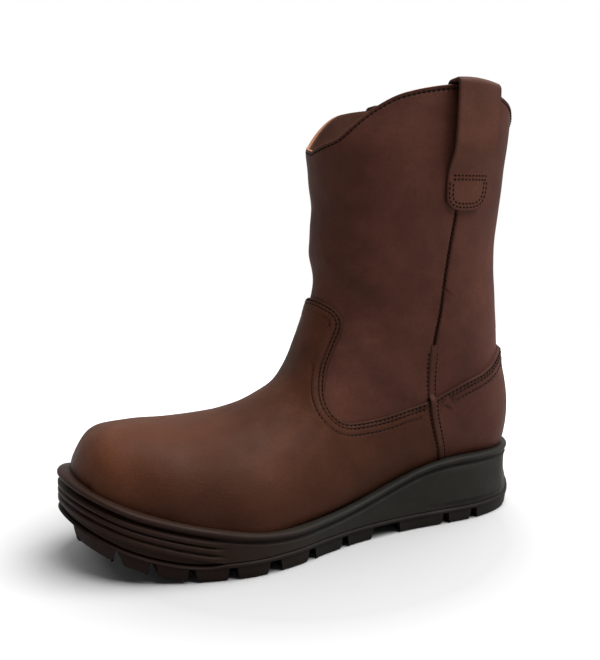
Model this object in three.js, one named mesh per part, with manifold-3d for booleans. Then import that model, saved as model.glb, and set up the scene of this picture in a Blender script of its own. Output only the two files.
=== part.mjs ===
// Pull-on steel toe work boot, left foot.
// Millimetres. +X from heel to toe, +Y towards the boot's outer side, +Z up.
// The origin is on the ground under the middle of the sole.
//
// The upper is one foot-shaped surface, given by cross-sections that fan from the toe,
// round the instep, to the collar. Each leather, lining and stiffener piece is a layer
// at its own distance from that surface, cut to the piece's outline in side view.
import * as THREE from 'three';
import { mergeVertices } from 'three/addons/utils/BufferGeometryUtils.js';
import Module from 'manifold-3d';

const wasm = await Module();
wasm.setup();

// ---------------------------------------------------------------- driving dimensions
const GAP = 0.3;                 // free space between neighbouring pieces
const OUTER_LEATHER = [0.2, 2.2];     // vamp and heel cover: inner and outer face, from the form
const SHAFT_LEATHER = [-2.1, -0.1];   // shaft panels, which pass under the vamp and heel cover
const CAP_STEEL = [-1.9, -0.1];       // steel toe cap wall
const LINING = [-3.6, -2.4];          // linings and collar facing
const STRIP = 1.1;                    // side seam strip thickness
const CUP_CLEAR = 2.5;                // midsole cup wall, from the form
const UNDER_FACTOR = 0.25;            // share of a layer's distance that counts on the underside
const WELT = 8.86;                    // how far the sole stands out past the feather line
const TOE_SPRING = 25.3;              // ground clearance under the toe tip
const SPRING_START = 235;             // where the toe spring begins, from the heel
const HEEL_BEVEL = [14, 6];           // bevel length and height at the back of the heel
const LUG = 7.8;                      // lug depth
const OUTSOLE = 10.5;                 // outsole thickness with its lugs
const MIDSOLE_FROM = 10.8;            // underside of the midsole above the ground line
const BOARD = [0.5, 2.5];             // insole board, above the floor line
const FOOTBED = [2.8, 7.3];           // foam footbed, above the floor line
const FOOTBED_COVER = [7.6, 8.5];     // its cloth
const FOOTBED_END = 286;              // front end of the footbed
const SHANK = { x0: 72, x1: 162, half: 8, top: -0.1, bottom: -1.9 };
const FACING = 32;                    // height of the collar facing
const STRAP = { back: 44.3, front: 76.5, lean: 0.065, foot: 228.4, thick: 2.2, stand: 6.8, radius: 2.1 };   // edges in side view, leaning back by lean per mm of height
const TAB = [0.2, 2.4];               // sewn outer end of a pull strap
const CENTRE = [155.55, 1.05];        // middle of the bounding box in plan
const GRID_A = 20;                    // points round a section

// ---------------------------------------------------------------- the form
// Bx Bz: bottom or back of a section; Fx Fz: its top or front; then half-widths on the
// outer and inner side, the height of the widest place, how square the section is below
// and above it, and the sideways place of the two ends.
const ROWS = [
  [302.5, 43.0, 302.5, 47.65, 2.01, 2.01, 0.45, 0.9, 0.9, -7, -7],
  [301, 38.5, 301, 57.9, 13.01, 12.88, 0.42, 0.8, 0.85, -7, -7],
  [297, 34.5, 297, 66.67, 23.97, 23.49, 0.38, 0.6, 0.8, -6.5, -6.5],
  [290, 30.5, 290, 75.4, 33.6, 32.59, 0.34, 0.5, 0.78, -6, -6],
  [280, 26.5, 280, 79.2, 40.57, 38.74, 0.31, 0.42, 0.76, -5, -5.5],
  [266, 21.5, 266, 80.1, 45.45, 42.27, 0.29, 0.38, 0.78, -3, -5],
  [248, 17.5, 248, 79.7, 51.46, 47.89, 0.28, 0.36, 0.84, -1, -4.5],
  [226, 15.5, 226, 80.0, 55.68, 51.34, 0.27, 0.36, 0.92, 0, -4],
  [203, 14.5, 204, 82.8, 57.83, 51.72, 0.27, 0.38, 0.98, 0, -3.5],
  [180, 14.5, 179.15, 91.8, 52.29, 46.06, 0.27, 0.42, 1, 0, -3],
  [152, 17, 164.14, 105.6, 45.47, 39.5, 0.28, 0.5, 1, 1, -2],
  [122, 21, 154.14, 127.46, 39.55, 35.6, 0.3, 0.6, 1, 1, -1.5],
  [88, 26, 147.49, 144.54, 37.74, 35.78, 0.34, 0.7, 0.98, 0.5, -1],
  [50, 28.5, 144.34, 155.48, 37.9, 36.93, 0.38, 0.8, 0.96, 0, -0.5],
  [18.28, 33, 143.08, 164, 38.53, 38.05, 0.42, 0.85, 0.95, 0, 0],
  [5.44, 52, 143.31, 173, 40.3, 40.3, 0.45, 0.9, 0.93, 0, 0],
  [4.5, 78, 144.35, 182, 42.1, 42.1, 0.47, 0.95, 0.92, 0, 0],
  [8.95, 104, 143.19, 191.5, 43.95, 43.95, 0.48, 0.98, 0.92, 0, 0],
  [11.1, 130, 142.33, 201.5, 45.52, 45.52, 0.48, 1, 0.92, 0, 0],
  [13.25, 157, 141.47, 212.5, 47.09, 47.09, 0.48, 1, 0.93, 0, 0],
  [12.95, 184, 142.57, 224.5, 49.17, 49.17, 0.48, 1, 0.93, 0, 0],
  [9.64, 211, 143.18, 237.5, 51.77, 51.77, 0.48, 1, 0.94, 0, 0],
  [5.84, 237, 143.58, 251, 53.41, 53.41, 0.48, 1, 0.95, 0, 0],
  [2.04, 262, 137.39, 266, 54.46, 54.46, 0.48, 1, 0.95, 0, 0],
  [2.48, 285, 131.01, 282, 54.95, 54.95, 0.48, 1, 0.95, 0, 0],
  [4.91, 304, 124.62, 299, 54.43, 54.43, 0.48, 1, 0.95, 0, 0],
];
// Section numbers at which the layers get a ring of vertices.
const RINGS = [0, 1, 2, 3, 4, 5, 6, 7, 8, 9, 10, 11, 12, 13, 13.5, 14, 14.5, 15, 16, 17, 18.5, 20, 21, 22, 23, 25];

// Lines in side view, [x from the heel, z].
const COLLAR = [[-12, 257.5], [2.4, 258.6], [5, 263], [9, 267], [14, 270.7], [20.4, 273.5], [28, 275.7], [36, 277.5], [45, 279.2], [55, 280.9], [64.5, 281.7], [76, 281.2], [87, 279.8], [97, 278], [106, 275.5], [115.6, 270.5], [125.7, 262.8], [135, 253.7], [141, 247.3], [144, 244.8], [164, 240]];
const VAMP_EDGE = [[168, 153], [146.5, 151.8], [142, 149.6], [137.8, 146], [134.9, 140.3], [135.1, 134.1], [140.2, 123.3], [145, 114], [147.6, 108.4], [150.3, 99.7], [151.6, 92.7], [151, 86.8], [148.7, 82.3], [145.1, 78.6], [140.2, 76.4], [127.2, 76.2], [113.5, 77.6], [96.5, 81.1], [79.8, 84.5]];
const VAMP_UNDERLAP = [[172, 143], [150.5, 141], [146, 134], [149, 124], [154, 113], [159, 100], [161, 92], [160, 84], [156, 76], [149, 70.5], [140, 68], [127, 67.5], [113.5, 69], [96.5, 72.5], [79.8, 75.5]];
const HEEL_EDGE = [[79.2, 84.9], [63.9, 91.4], [53.5, 95.7], [41.6, 99.6], [33.3, 103.6], [26.1, 108.2], [18, 112.5], [8, 115.5], [-12, 117]];
const HEEL_UNDERLAP = [[79.2, 75.5], [64, 81.5], [53.5, 86], [41.6, 90], [33, 94], [26, 98.5], [15, 103], [-12, 105]];
const SEAM = [[68.5, 30], [70.3, 44], [72.7, 53.2], [75.6, 63], [78.2, 74.5], [79.4, 86.6], [79.4, 104.5], [78.6, 120.6], [75.4, 142.9], [73.5, 162.7], [71, 182], [67.4, 205.6], [64, 240], [62, 300]];
// Heights every 20 mm from the heel: the top of the sole's lip, and the floor inside the cup.
const RIM = [43.9, 43.6, 44.0, 43.8, 41.6, 36.3, 29.9, 24.8, 22.3, 21.9, 23.6, 26.9, 31.3, 36.7, 43.5, 52.3, 61.5];
const FLOOR = [33.8, 32.6, 30.6, 29.6, 28.2, 25.9, 22.7, 19.8, 17.5, 15.9, 15.8, 16.6, 17.9, 21.2, 27.9, 36.5, 45.0];
// Feather line in plan, from the toe tip along the outer side.
const FEATHER = [[302.7, -6.0], [296.3, 17.3], [280.2, 35.3], [258.5, 45.7], [234.7, 53.0], [210.8, 57.0], [187.3, 53.4], [164.1, 44.9], [140.7, 38.0], [116.9, 33.8], [92.8, 31.9], [68.2, 31.9], [43.6, 30.4], [20.7, 20.9], [8.3, 2.7], [16.6, -18.1], [38.8, -28.9], [63.3, -30.9], [87.8, -29.9], [112.1, -29.5], [136.1, -31.3], [159.6, -36.8], [182.8, -46.0], [205.9, -52.4], [229.8, -51.5], [254.8, -48.9], [278.7, -44.0], [296.1, -29.1]];
// Lugs: [from, to] at the ground along the boot, for the two edges and the middle.
const EDGE_LUGS = [[-12, 44], [51.5, 66.5], [73.5, 104], [127, 144], [151, 169.5], [177, 194], [204, 220.5], [228, 243.5], [250, 264], [270, 282], [287.5, 322]];
const MIDDLE_LUGS = [[22, 50], [58, 88], [136, 153], [161, 178], [186, 203], [211, 228], [236, 251], [258, 272]];

// ---------------------------------------------------------------- curves
class Spline {   // natural cubic through evenly spaced values
  constructor(y) {
    const n = y.length, c = new Array(n).fill(0), d = new Array(n).fill(0), M = new Array(n).fill(0);
    for (let i = 1; i < n - 1; i++) {
      const r = 6 * (y[i - 1] - 2 * y[i] + y[i + 1]), m = 4 - c[i - 1];
      c[i] = 1 / m;
      d[i] = (r - d[i - 1]) / m;
    }
    for (let i = n - 2; i > 0; i--) M[i] = d[i] - c[i] * M[i + 1];
    this.y = y;
    this.M = M;
  }
  at(t) {
    const n = this.y.length, u = Math.min(Math.max(t, 0), n - 1), i = Math.min(Math.floor(u), n - 2), f = u - i, g = 1 - f;
    return g * this.y[i] + f * this.y[i + 1] + ((g ** 3 - g) * this.M[i] + (f ** 3 - f) * this.M[i + 1]) / 6;
  }
}
const ROW = ROWS[0].map((_, k) => new Spline(ROWS.map((r) => r[k])));
const rimLine = new Spline(RIM), floorLine = new Spline(FLOOR);
const rim = (x) => rimLine.at(x / 20);
const floor = (x) => floorLine.at(x / 20);
const ground = (x) => {
  if (x > SPRING_START) return TOE_SPRING * ((x - SPRING_START) / 75) ** 1.8;
  if (x < HEEL_BEVEL[0]) return HEEL_BEVEL[1] * ((HEEL_BEVEL[0] - x) / HEEL_BEVEL[0]) ** 1.6;
  return 0;
};
const line = (pts, x) => {     // height of a side-view line at x
  const p = pts[0][0] < pts[pts.length - 1][0] ? pts : [...pts].reverse();
  if (x <= p[0][0]) return p[0][1];
  for (let i = 1; i < p.length; i++) if (x <= p[i][0]) return p[i - 1][1] + (p[i][1] - p[i - 1][1]) * (x - p[i - 1][0]) / (p[i][0] - p[i - 1][0]);
  return p[p.length - 1][1];
};

// Point of the form at section t and place a round it: 0 underneath or at the back, 1 or -1
// on top or at the front, positive on the outer side.
function form(t, a) {
  const [Bx, Bz, Fx, Fz, wl, wm, v0, eb, et, yB, yF] = ROW.map((s) => s.at(t));
  const al = Math.min(Math.abs(a), 1) * Math.PI, low = al <= Math.PI / 2;
  const e = low ? eb : et, w = a >= 0 ? wl : wm;
  const q = w * Math.max(Math.sin(al), 0) ** e, cc = Math.abs(Math.cos(al)) ** e;
  const v = low ? v0 * (1 - cc) : v0 + (1 - v0) * cc;
  return new THREE.Vector3(Bx + (Fx - Bx) * v, yB + (yF - yB) * v + (a >= 0 ? q : -q), Bz + (Fz - Bz) * v);
}
function outward(t, a) {
  const wrap = (u) => (u > 1 ? u - 2 : u < -1 ? u + 2 : u);
  const h = 0.02, g = 0.02;
  const t0 = Math.max(t - h, 0), t1 = Math.min(t + h, 25);
  const dt = form(t1, a).sub(form(t0, a));
  const da = form(t, wrap(a + g)).sub(form(t, wrap(a - g)));
  const n = dt.cross(da).normalize();
  const mid = form(t, 0).add(form(t, 1)).multiplyScalar(0.5);
  if (n.dot(form(t, a).sub(mid)) < 0 && t > 0.01) n.negate();
  if (t <= 0.01 && n.x < 0) n.negate();
  return n;
}
function layerPoint(t, a, d) {
  const n = outward(t, a);
  if (n.z < 0) n.z *= UNDER_FACTOR;
  return form(t, a).addScaledVector(n, d);
}

// ---------------------------------------------------------------- solids
function solid(geometry) {
  const g = geometry.index ? geometry.toNonIndexed() : geometry.clone();
  for (const k of Object.keys(g.attributes)) if (k !== 'position') g.deleteAttribute(k);
  const m = mergeVertices(g, 1e-4);
  return new wasm.Manifold(new wasm.Mesh({ numProp: 3, vertProperties: new Float32Array(m.attributes.position.array), triVerts: new Uint32Array(m.index.array) }));
}
function mesh(manifold, name, color, roughness, metalness = 0) {
  const m = manifold.getMesh();
  const pos = new Float32Array(m.numVert * 3);
  for (let i = 0; i < m.numVert; i++) for (let k = 0; k < 3; k++) pos[3 * i + k] = m.vertProperties[m.numProp * i + k];
  const g = new THREE.BufferGeometry();
  g.setAttribute('position', new THREE.BufferAttribute(pos, 3));
  g.setIndex(Array.from(m.triVerts));
  const out = new THREE.Mesh(g, new THREE.MeshStandardMaterial({ color, roughness, metalness, flatShading: true }));
  out.name = name;
  return out;
}
function fromRings(rings, closeEnds = true) {   // rings of equal length, first to last, closed round
  const pos = [], idx = [], n = rings[0].length;
  for (const r of rings) for (const p of r) pos.push(p.x, p.y, p.z);
  for (let i = 0; i < rings.length - 1; i++) for (let j = 0; j < n; j++) {
    const a = i * n + j, b = i * n + (j + 1) % n, c = a + n, d = b + n;
    idx.push(a, b, d, a, d, c);
  }
  if (closeEnds) {
    for (const [r, flip] of [[0, true], [rings.length - 1, false]]) {
      const c = rings[r].reduce((s, p) => s.add(p), new THREE.Vector3()).divideScalar(n);
      const k = pos.length / 3;
      pos.push(c.x, c.y, c.z);
      for (let j = 0; j < n; j++) {
        const a = r * n + j, b = r * n + (j + 1) % n;
        if (flip) idx.push(b, a, k); else idx.push(a, b, k);
      }
    }
  }
  const g = new THREE.BufferGeometry();
  g.setAttribute('position', new THREE.BufferAttribute(new Float32Array(pos), 3));
  g.setIndex(idx);
  const s = solid(g);
  if (s.volume() > 0) return s;
  for (let i = 0; i < idx.length; i += 3) [idx[i + 1], idx[i + 2]] = [idx[i + 2], idx[i + 1]];
  g.setIndex(idx);
  return solid(g);
}
const bodies = new Map();
function body(d) {             // everything inside the layer at distance d
  if (!bodies.has(d)) {
    const rings = RINGS.map((t) => Array.from({ length: GRID_A }, (_, j) => layerPoint(t, -1 + 2 * j / GRID_A, d)));
    bodies.set(d, fromRings(rings));
  }
  return bodies.get(d);
}
const layer = ([d0, d1]) => body(d1).subtract(body(d0));
function slab(points, y0 = -95, y1 = 95) {   // side-view outline, filled and extruded across the boot
  const shape = new THREE.Shape(points.map(([x, z]) => new THREE.Vector2(x, z)));
  const g = new THREE.ExtrudeGeometry(shape, { depth: y1 - y0, bevelEnabled: false });
  g.rotateX(Math.PI / 2);
  g.translate(0, y1, 0);
  return solid(g);
}
const shift = (pts, dx, dz) => pts.map(([x, z]) => [x + dx, z + dz]);
const aboveFloor = (x0, x1, dz) => {   // the floor line from x0 to x1, broken at the same places for every piece
  const lo = Math.min(x0, x1), hi = Math.max(x0, x1), xs = [lo];
  for (let x = Math.ceil((lo + 0.5) / 10) * 10; x < hi - 0.5; x += 10) xs.push(x);
  xs.push(hi);
  const chord = (x) => { const i = Math.floor(x / 10) * 10, f = (x - i) / 10; return floor(i) * (1 - f) + floor(i + 10) * f; };
  if (x0 > x1) xs.reverse();
  return xs.map((x) => [x, chord(x) + dz]);
};
const seamBelow = (z, dx) => SEAM.filter((p) => p[1] < z).map(([x, zz]) => [x + dx, zz]);
const seamAbove = (z, dx) => SEAM.filter((p) => p[1] > z).map(([x, zz]) => [x + dx, zz]);
const seamX = (z) => line(SEAM.map(([x, zz]) => [zz, x]), z);

// ---------------------------------------------------------------- upper leather
const seamDown = [...seamBelow(84, 0)].reverse().filter(([x, z]) => z > floor(x) + 4);
const footX = seamDown[seamDown.length - 1][0];
const vampOutline = [...VAMP_EDGE, ...shift(seamDown, 0.15, 0), ...aboveFloor(footX - 1.5, 326, 0.5), [326, 120], [200, 150]];
const heelOutline = [...HEEL_EDGE, ...aboveFloor(-12, footX - 1.9, 0.5), ...shift([...seamDown].reverse(), -0.15, 0)];
const topLine = (x0, x1, dz) => {
  const p = COLLAR.filter(([x]) => x > Math.min(x0, x1) && x < Math.max(x0, x1)).map(([x, z]) => [x, z + dz]);
  const ends = [[x0, line(COLLAR, x0) + dz], [x1, line(COLLAR, x1) + dz]];
  const all = [...p, ...ends].sort((u, v) => u[0] - v[0]);
  return x0 < x1 ? all : all.reverse();
};
const seamTop = 62.4;
const shaftSeam = seamAbove(76, 0).filter(([, z]) => z < 275);
const shaftFrontOutline = [...topLine(172, seamTop + 0.2, 0), ...shift([...shaftSeam].reverse(), 0.2, 0), ...[...VAMP_UNDERLAP].reverse().map(([x, z], i) => [i === 0 ? seamX(75.5) + 0.2 : x, z])];
const shaftBackOutline = [...topLine(-12, seamTop - 0.2, 0), ...shift([...shaftSeam].reverse(), -0.2, 0), ...HEEL_UNDERLAP.map(([x, z], i) => [i === 0 ? seamX(75.5) - 0.2 : x, z])];

const vamp = layer(OUTER_LEATHER).intersect(slab(vampOutline));
const heelCover = layer(OUTER_LEATHER).intersect(slab(heelOutline));
const shaftFront = layer(SHAFT_LEATHER).intersect(slab(shaftFrontOutline));
const shaftBack = layer(SHAFT_LEATHER).intersect(slab(shaftBackOutline));

// Seam strip: down the seam from the ankle, stepping out over the vamp and heel cover.
function seamStrip(side) {
  const [y0, y1] = side > 0 ? [10, 95] : [-95, -10];
  const half = 2.6;
  const band = (z0, z1) => {
    const zs = [z0, ...SEAM.map((p) => p[1]).filter((z) => z > z0 && z < z1), z1];
    return slab([...zs.map((z) => [seamX(z) + half, z]), ...zs.reverse().map((z) => [seamX(z) - half, z])], y0, y1);
  };
  const [d0, d1] = OUTER_LEATHER, up = SHAFT_LEATHER[1] + GAP;
  const low = layer([d1 + GAP, d1 + GAP + STRIP]).intersect(band(rim(71) + 0.8, 87.6));
  const step = layer([up, d1 + GAP + STRIP]).intersect(band(86.2, 87.6));
  const high = layer([up, up + STRIP]).intersect(band(86.2, 121));
  return low.add(step).add(high);
}

// ---------------------------------------------------------------- pull straps
// The place on the form's side at x and height z, with its level outward direction.
function sidePlace(side, x, z) {
  let a0 = 0.2, a1 = 0.8, t = 20, a = 0.5;
  for (let i = 0; i < 26; i++) {
    a = (a0 + a1) / 2;
    let lo = 14, hi = 25;
    for (let k = 0; k < 26; k++) { t = (lo + hi) / 2; if (form(t, a).z < z) lo = t; else hi = t; }
    if (form(t, a).x < x) a0 = a; else a1 = a;
  }
  return { p: form(t, side * a), n: outward(t, side * a).setZ(0).normalize() };
}
function strapPart(side, kind) {
  const columns = 5, { stand, thick, radius: r } = STRAP;
  const place = (j, depth) => {
    let x = STRAP.back, z = 250;
    for (let i = 0; i < 4; i++) {
      const front = STRAP.front - STRAP.lean * (z - STRAP.foot);
      x = STRAP.back + (front - STRAP.back) * j / (columns - 1);
      z = line(COLLAR, x) - depth;
    }
    return sidePlace(side, x, z);
  };
  const outC = stand - r, inC = -3.9;
  const path = [];       // depth below the collar; distance and height of the inner and outer face
  if (kind === 'loop') {
    for (const [depth, d] of [[54, 0.35], [50, 0.9], [46, 3.2], [41, stand - 0.5], [34, stand], [17, stand], [1, stand]]) path.push({ depth, d: [d, d + thick], h: [0, 0] });
    for (let k = 1; k <= 3; k++) { const f = (k / 3) * Math.PI / 2; path.push({ depth: 0, d: [outC + r * Math.cos(f), outC + (r + thick) * Math.cos(f)], h: [-1 + r * Math.sin(f), -1 + (r + thick) * Math.sin(f)] }); }
    path.push({ depth: 0, d: [inC + 0.6, inC + 0.6], h: [-1 + r, -1 + r + thick] });
  } else {
    path.push({ depth: 0, d: [inC, inC], h: [-1 + r, -1 + r + thick] });
    for (let k = 1; k <= 3; k++) { const f = Math.PI / 2 * (1 + k / 3); path.push({ depth: 0, d: [inC + r * Math.cos(f), inC + (r + thick) * Math.cos(f)], h: [-1 + r * Math.sin(f), -1 + (r + thick) * Math.sin(f)] }); }
    for (const depth of [16, 34, 50]) path.push({ depth, d: [inC - r, inC - r - thick], h: [0, 0] });
  }
  const rings = path.map(({ depth, d, h }) => {
    const row = Array.from({ length: columns }, (_, j) => place(j, depth));
    return [0, 1].flatMap((f) => {
      const line = row.map(({ p, n }) => p.clone().addScaledVector(n, d[f]).add(new THREE.Vector3(0, 0, h[f])));
      return f ? line.reverse() : line;
    });
  });
  const s = fromRings(rings);
  const [y0, y1] = side > 0 ? [5, 95] : [-95, -5];
  return kind === 'loop' ? s.intersect(slab([[20, STRAP.foot], [110, STRAP.foot], [110, 330], [20, 330]], y0, y1)) : s;
}
function strapTab(side) {
  const [y0, y1] = side > 0 ? [10, 95] : [-95, -10];
  const top = STRAP.foot - 0.4;
  const outline = [[76.6, top], [44.2, top], [44.6, 218], [46.6, 211.5], [50.5, 207.8], [56, 206.3], [69, 206.1], [73.6, 207.6], [76.2, 211.2], [76.6, 216]];
  return layer(TAB).intersect(slab(outline, y0, y1));
}

// ---------------------------------------------------------------- inside the upper
const capBack = [[243, 95], [244, 70], [248, 40]];
const toeCap = layer(CAP_STEEL).intersect(slab([...capBack, ...aboveFloor(250, 326, 0.5), [326, 95]]));
const edgeStrip = layer(CAP_STEEL).intersect(slab([[231, 95], [232, 70], [236, 40], [237.5, 25], [248.6, 28], [247.6, 40], [243.6, 70], [242.6, 95]]));
const stiffener = layer(SHAFT_LEATHER).intersect(slab([[66, 79.2], [53.5, 84.6], [41.6, 88.6], [33, 92.6], [26, 97.1], [15, 101.6], [-12, 103.6], ...aboveFloor(-12, 66, 0.5)]));
const vampLiningOutline = [[112, 74], [150, 143], [176, 152], [200, 150], [326, 120], ...aboveFloor(326, 112, 0.5)];
const vampLining = layer(LINING).intersect(slab(vampLiningOutline));
const heelLining = layer(LINING).intersect(slab([[-12, 100], [68, 100], ...aboveFloor(68, -12, 0.5)]));
const shaftLining = layer(LINING).intersect(slab([...topLine(176, -12, -FACING - GAP), [-12, 100.4], [68.4, 100.4], ...aboveFloor(68.4, 111.6, 0.5), [111.6, 74.2], [149.6, 143.4], [176, 152.4]]));
const facing = layer(LINING).intersect(slab([...topLine(-12, 176, 0), ...topLine(176, -12, -FACING)]));

const floorSlab = (lo, hi, x1) => slab([...aboveFloor(-6, x1, lo), ...aboveFloor(x1, -6, hi)]);
const board = floorSlab(BOARD[0], BOARD[1], 312).intersect(body(-4.0));
const footbed = floorSlab(FOOTBED[0], FOOTBED[1], FOOTBED_END).intersect(body(-5.4));
const footbedCover = floorSlab(FOOTBED_COVER[0], FOOTBED_COVER[1], FOOTBED_END).intersect(body(-5.4));

// ---------------------------------------------------------------- sole
const STATIONS = 40;
const feather = new THREE.CatmullRomCurve3(FEATHER.map(([x, y]) => new THREE.Vector3(x, y, 0)), true, 'centripetal');
const edge = Array.from({ length: STATIONS }, (_, i) => {
  const u = i / STATIONS, p = feather.getPoint(u), d = feather.getTangent(u);
  return { p, n: new THREE.Vector3(-d.y, d.x, 0).normalize() };
});
if (edge[0].n.x < 0) for (const e of edge) e.n.negate();
const ring = (o, height) => edge.map(({ p, n }) => { const q = p.clone().addScaledVector(n, o); q.z = height(q.x); return q; });
// A sole layer: rings from its top to its underside, with both ends closed by strips
// that run across the boot, so each end follows the profile line.
function soleBody(rings) {
  const n = STATIONS, pos = [], idx = [];
  for (const r of rings) for (const p of r) pos.push(p.x, p.y, p.z);
  for (let i = 0; i < rings.length - 1; i++) for (let j = 0; j < n; j++) {
    const a = i * n + j, b = i * n + (j + 1) % n, c = a + n, d = b + n;
    idx.push(a, d, b, a, c, d);
  }
  for (const [r, flip] of [[0, false], [rings.length - 1, true]]) {
    const at = (j) => r * n + ((j + n) % n);
    const add = (a, b, c) => (flip ? idx.push(a, c, b) : idx.push(a, b, c));
    for (let k = 0; k < n / 2; k++) {      // pair stations k and -k
      const a = at(k), b = at(k + 1), c = at(-k), d = at(-k - 1);
      if (k === 0) add(a, b, d);
      else if (k === n / 2 - 1) add(a, b, c);
      else { add(a, b, d); add(a, d, c); }
    }
  }
  const g = new THREE.BufferGeometry();
  g.setAttribute('position', new THREE.BufferAttribute(new Float32Array(pos), 3));
  g.setIndex(idx);
  const s = solid(g);
  if (s.volume() > 0) return s;
  for (let i = 0; i < idx.length; i += 3) [idx[i + 1], idx[i + 2]] = [idx[i + 2], idx[i + 1]];
  g.setIndex(idx);
  return solid(g);
}
const lip = (dz) => (x) => rim(x) - dz;
const midsoleBlock = soleBody([
  ring(WELT - 2.4, lip(0)),
  ring(WELT - 0.5, lip(2.2)),
  ring(WELT - 0.5, lip(4.6)),
  ring(WELT - 1.9, lip(6.4)),
  ring(WELT - 0.9, (x) => ground(x) + MIDSOLE_FROM),
]);
const cup = body(CUP_CLEAR).intersect(slab([...aboveFloor(-14, 330, GAP - 0.1), [330, 200], [-14, 200]]));
const shankLine = (dz, x0, x1) => aboveFloor(x0, x1, dz);
const shank = slab([...shankLine(SHANK.bottom, SHANK.x0, SHANK.x1), ...shankLine(SHANK.top, SHANK.x1, SHANK.x0)], -SHANK.half, SHANK.half);
const shankPocket = slab([...shankLine(SHANK.bottom - GAP, SHANK.x0 - 0.4, SHANK.x1 + 0.4), ...shankLine(3, SHANK.x1 + 0.4, SHANK.x0 - 0.4)], -SHANK.half - 0.4, SHANK.half + 0.4);
const midsole = midsoleBlock.subtract(cup).subtract(shankPocket);

const up = (dz) => (x) => ground(x) + dz;
const plate = soleBody([ring(WELT - 1.3, up(OUTSOLE)), ring(WELT + 0.2, up(OUTSOLE - 1.4)), ring(WELT - 0.2, up(LUG))]);
const treadBlock = soleBody([ring(WELT - 0.4, up(LUG + 0.4)), ring(WELT - 2.2, up(0))]);
const lug = ([x0, x1], y0, y1) => slab([[x0, ground(x0) - 2], [x1, ground(x1) - 2], [x1 + 1.6, ground(x1) + LUG + 1.5], [x0 - 1.6, ground(x0) + LUG + 1.5]], y0, y1);
let lugs = null;
const addLug = (s) => { lugs = lugs ? lugs.add(s) : s; };
for (const l of EDGE_LUGS) {
  const heel = l[1] < 110;
  addLug(lug(l, heel ? 13 : 17, 90));
  addLug(lug(l, -90, heel ? -13 : -17));
}
for (const l of MIDDLE_LUGS) addLug(lug(l, l[1] < 110 ? -9 : -12, l[1] < 110 ? 9 : 12));
const outsole = plate.add(treadBlock.intersect(lugs));

// ---------------------------------------------------------------- the boot
const LEATHER = 0x4b2a20, LEATHER_DARK = 0x3d221b, FOAM = 0x2a2a27, SOLE = 0x262521;
const boot = new THREE.Group();
boot.name = 'steel_toe_work_boot';
const add = (m, name, color, rough, metal) => boot.add(mesh(m, name, color, rough, metal));
add(outsole, 'outsole', SOLE, 0.75);
add(midsole, 'midsole', FOAM, 0.7);
add(shank, 'steel_shank', 0x8d9093, 0.4, 1);
add(board, 'insole_board', 0x9a8a6c, 0.9);
add(toeCap, 'steel_toe_cap', 0x8a8d90, 0.4, 1);
add(edgeStrip, 'toe_cap_edge_strip', 0x3a3a3c, 0.8);
add(vamp, 'vamp', LEATHER, 0.5);
add(heelCover, 'heel_cover', LEATHER, 0.5);
add(stiffener, 'heel_stiffener', 0xb9b3a4, 0.8);
add(shaftFront, 'shaft_front', LEATHER, 0.5);
add(shaftBack, 'shaft_back', LEATHER, 0.5);
for (const [side, word] of [[1, 'left'], [-1, 'right']]) {
  add(seamStrip(side), `side_seam_strip_${word}`, LEATHER_DARK, 0.55);
  add(strapTab(side), `pull_strap_${word}_tab`, LEATHER, 0.5);
  add(strapPart(side, 'loop'), `pull_strap_${word}_loop`, LEATHER, 0.5);
  add(strapPart(side, 'inner'), `pull_strap_${word}_inner_end`, LEATHER, 0.5);
}
add(vampLining, 'vamp_lining', 0x6c6058, 0.9);
add(heelLining, 'heel_lining', 0x5a4a40, 0.9);
add(shaftLining, 'shaft_lining', 0x6c6058, 0.9);
add(facing, 'collar_facing', 0x56372c, 0.6);
add(footbed, 'footbed', 0x3c3f42, 0.9);
add(footbedCover, 'footbed_cover', 0x2f3133, 0.95);
boot.position.set(-CENTRE[0], -CENTRE[1], 0);

export default boot;
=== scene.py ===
"""The looks of a pull-on steel toe work boot, left foot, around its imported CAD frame.

Shapes are worked in millimetres from the heel (fit frame) and moved to the row frame, in metres, when a mesh is made.
"""
import math

import bpy
import numpy as np
from mathutils import Matrix, Vector
from mathutils.geometry import delaunay_2d_cdt
from mathutils.kdtree import KDTree


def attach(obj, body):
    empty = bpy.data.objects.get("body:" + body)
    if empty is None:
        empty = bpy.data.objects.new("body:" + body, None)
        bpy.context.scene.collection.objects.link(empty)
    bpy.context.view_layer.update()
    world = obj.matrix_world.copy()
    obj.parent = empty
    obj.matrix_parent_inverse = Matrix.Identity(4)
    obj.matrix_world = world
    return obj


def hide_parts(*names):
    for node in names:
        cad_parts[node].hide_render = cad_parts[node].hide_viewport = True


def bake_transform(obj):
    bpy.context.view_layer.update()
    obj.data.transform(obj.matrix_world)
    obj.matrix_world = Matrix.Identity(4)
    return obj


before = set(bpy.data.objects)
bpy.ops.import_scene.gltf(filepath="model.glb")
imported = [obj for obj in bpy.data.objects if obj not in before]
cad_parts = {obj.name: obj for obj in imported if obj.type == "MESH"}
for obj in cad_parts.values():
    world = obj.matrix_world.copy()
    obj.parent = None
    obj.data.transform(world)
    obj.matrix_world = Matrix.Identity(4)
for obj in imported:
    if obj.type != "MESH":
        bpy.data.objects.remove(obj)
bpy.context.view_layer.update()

scene = bpy.context.scene
SHIFT = np.array([155.55, 1.05, 0.0])     # fit frame to row frame, mm
WELT = 8.86
TOE_SPRING, SPRING_START = 25.3, 235.0
HEEL_BEVEL = (14.0, 6.0)
STAND, THICK, RADIUS = 6.8, 2.2, 2.1      # pull strap
STRAP_BACK, STRAP_FRONT, STRAP_LEAN, STRAP_FOOT = 44.3, 76.5, 0.065, 228.4

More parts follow.
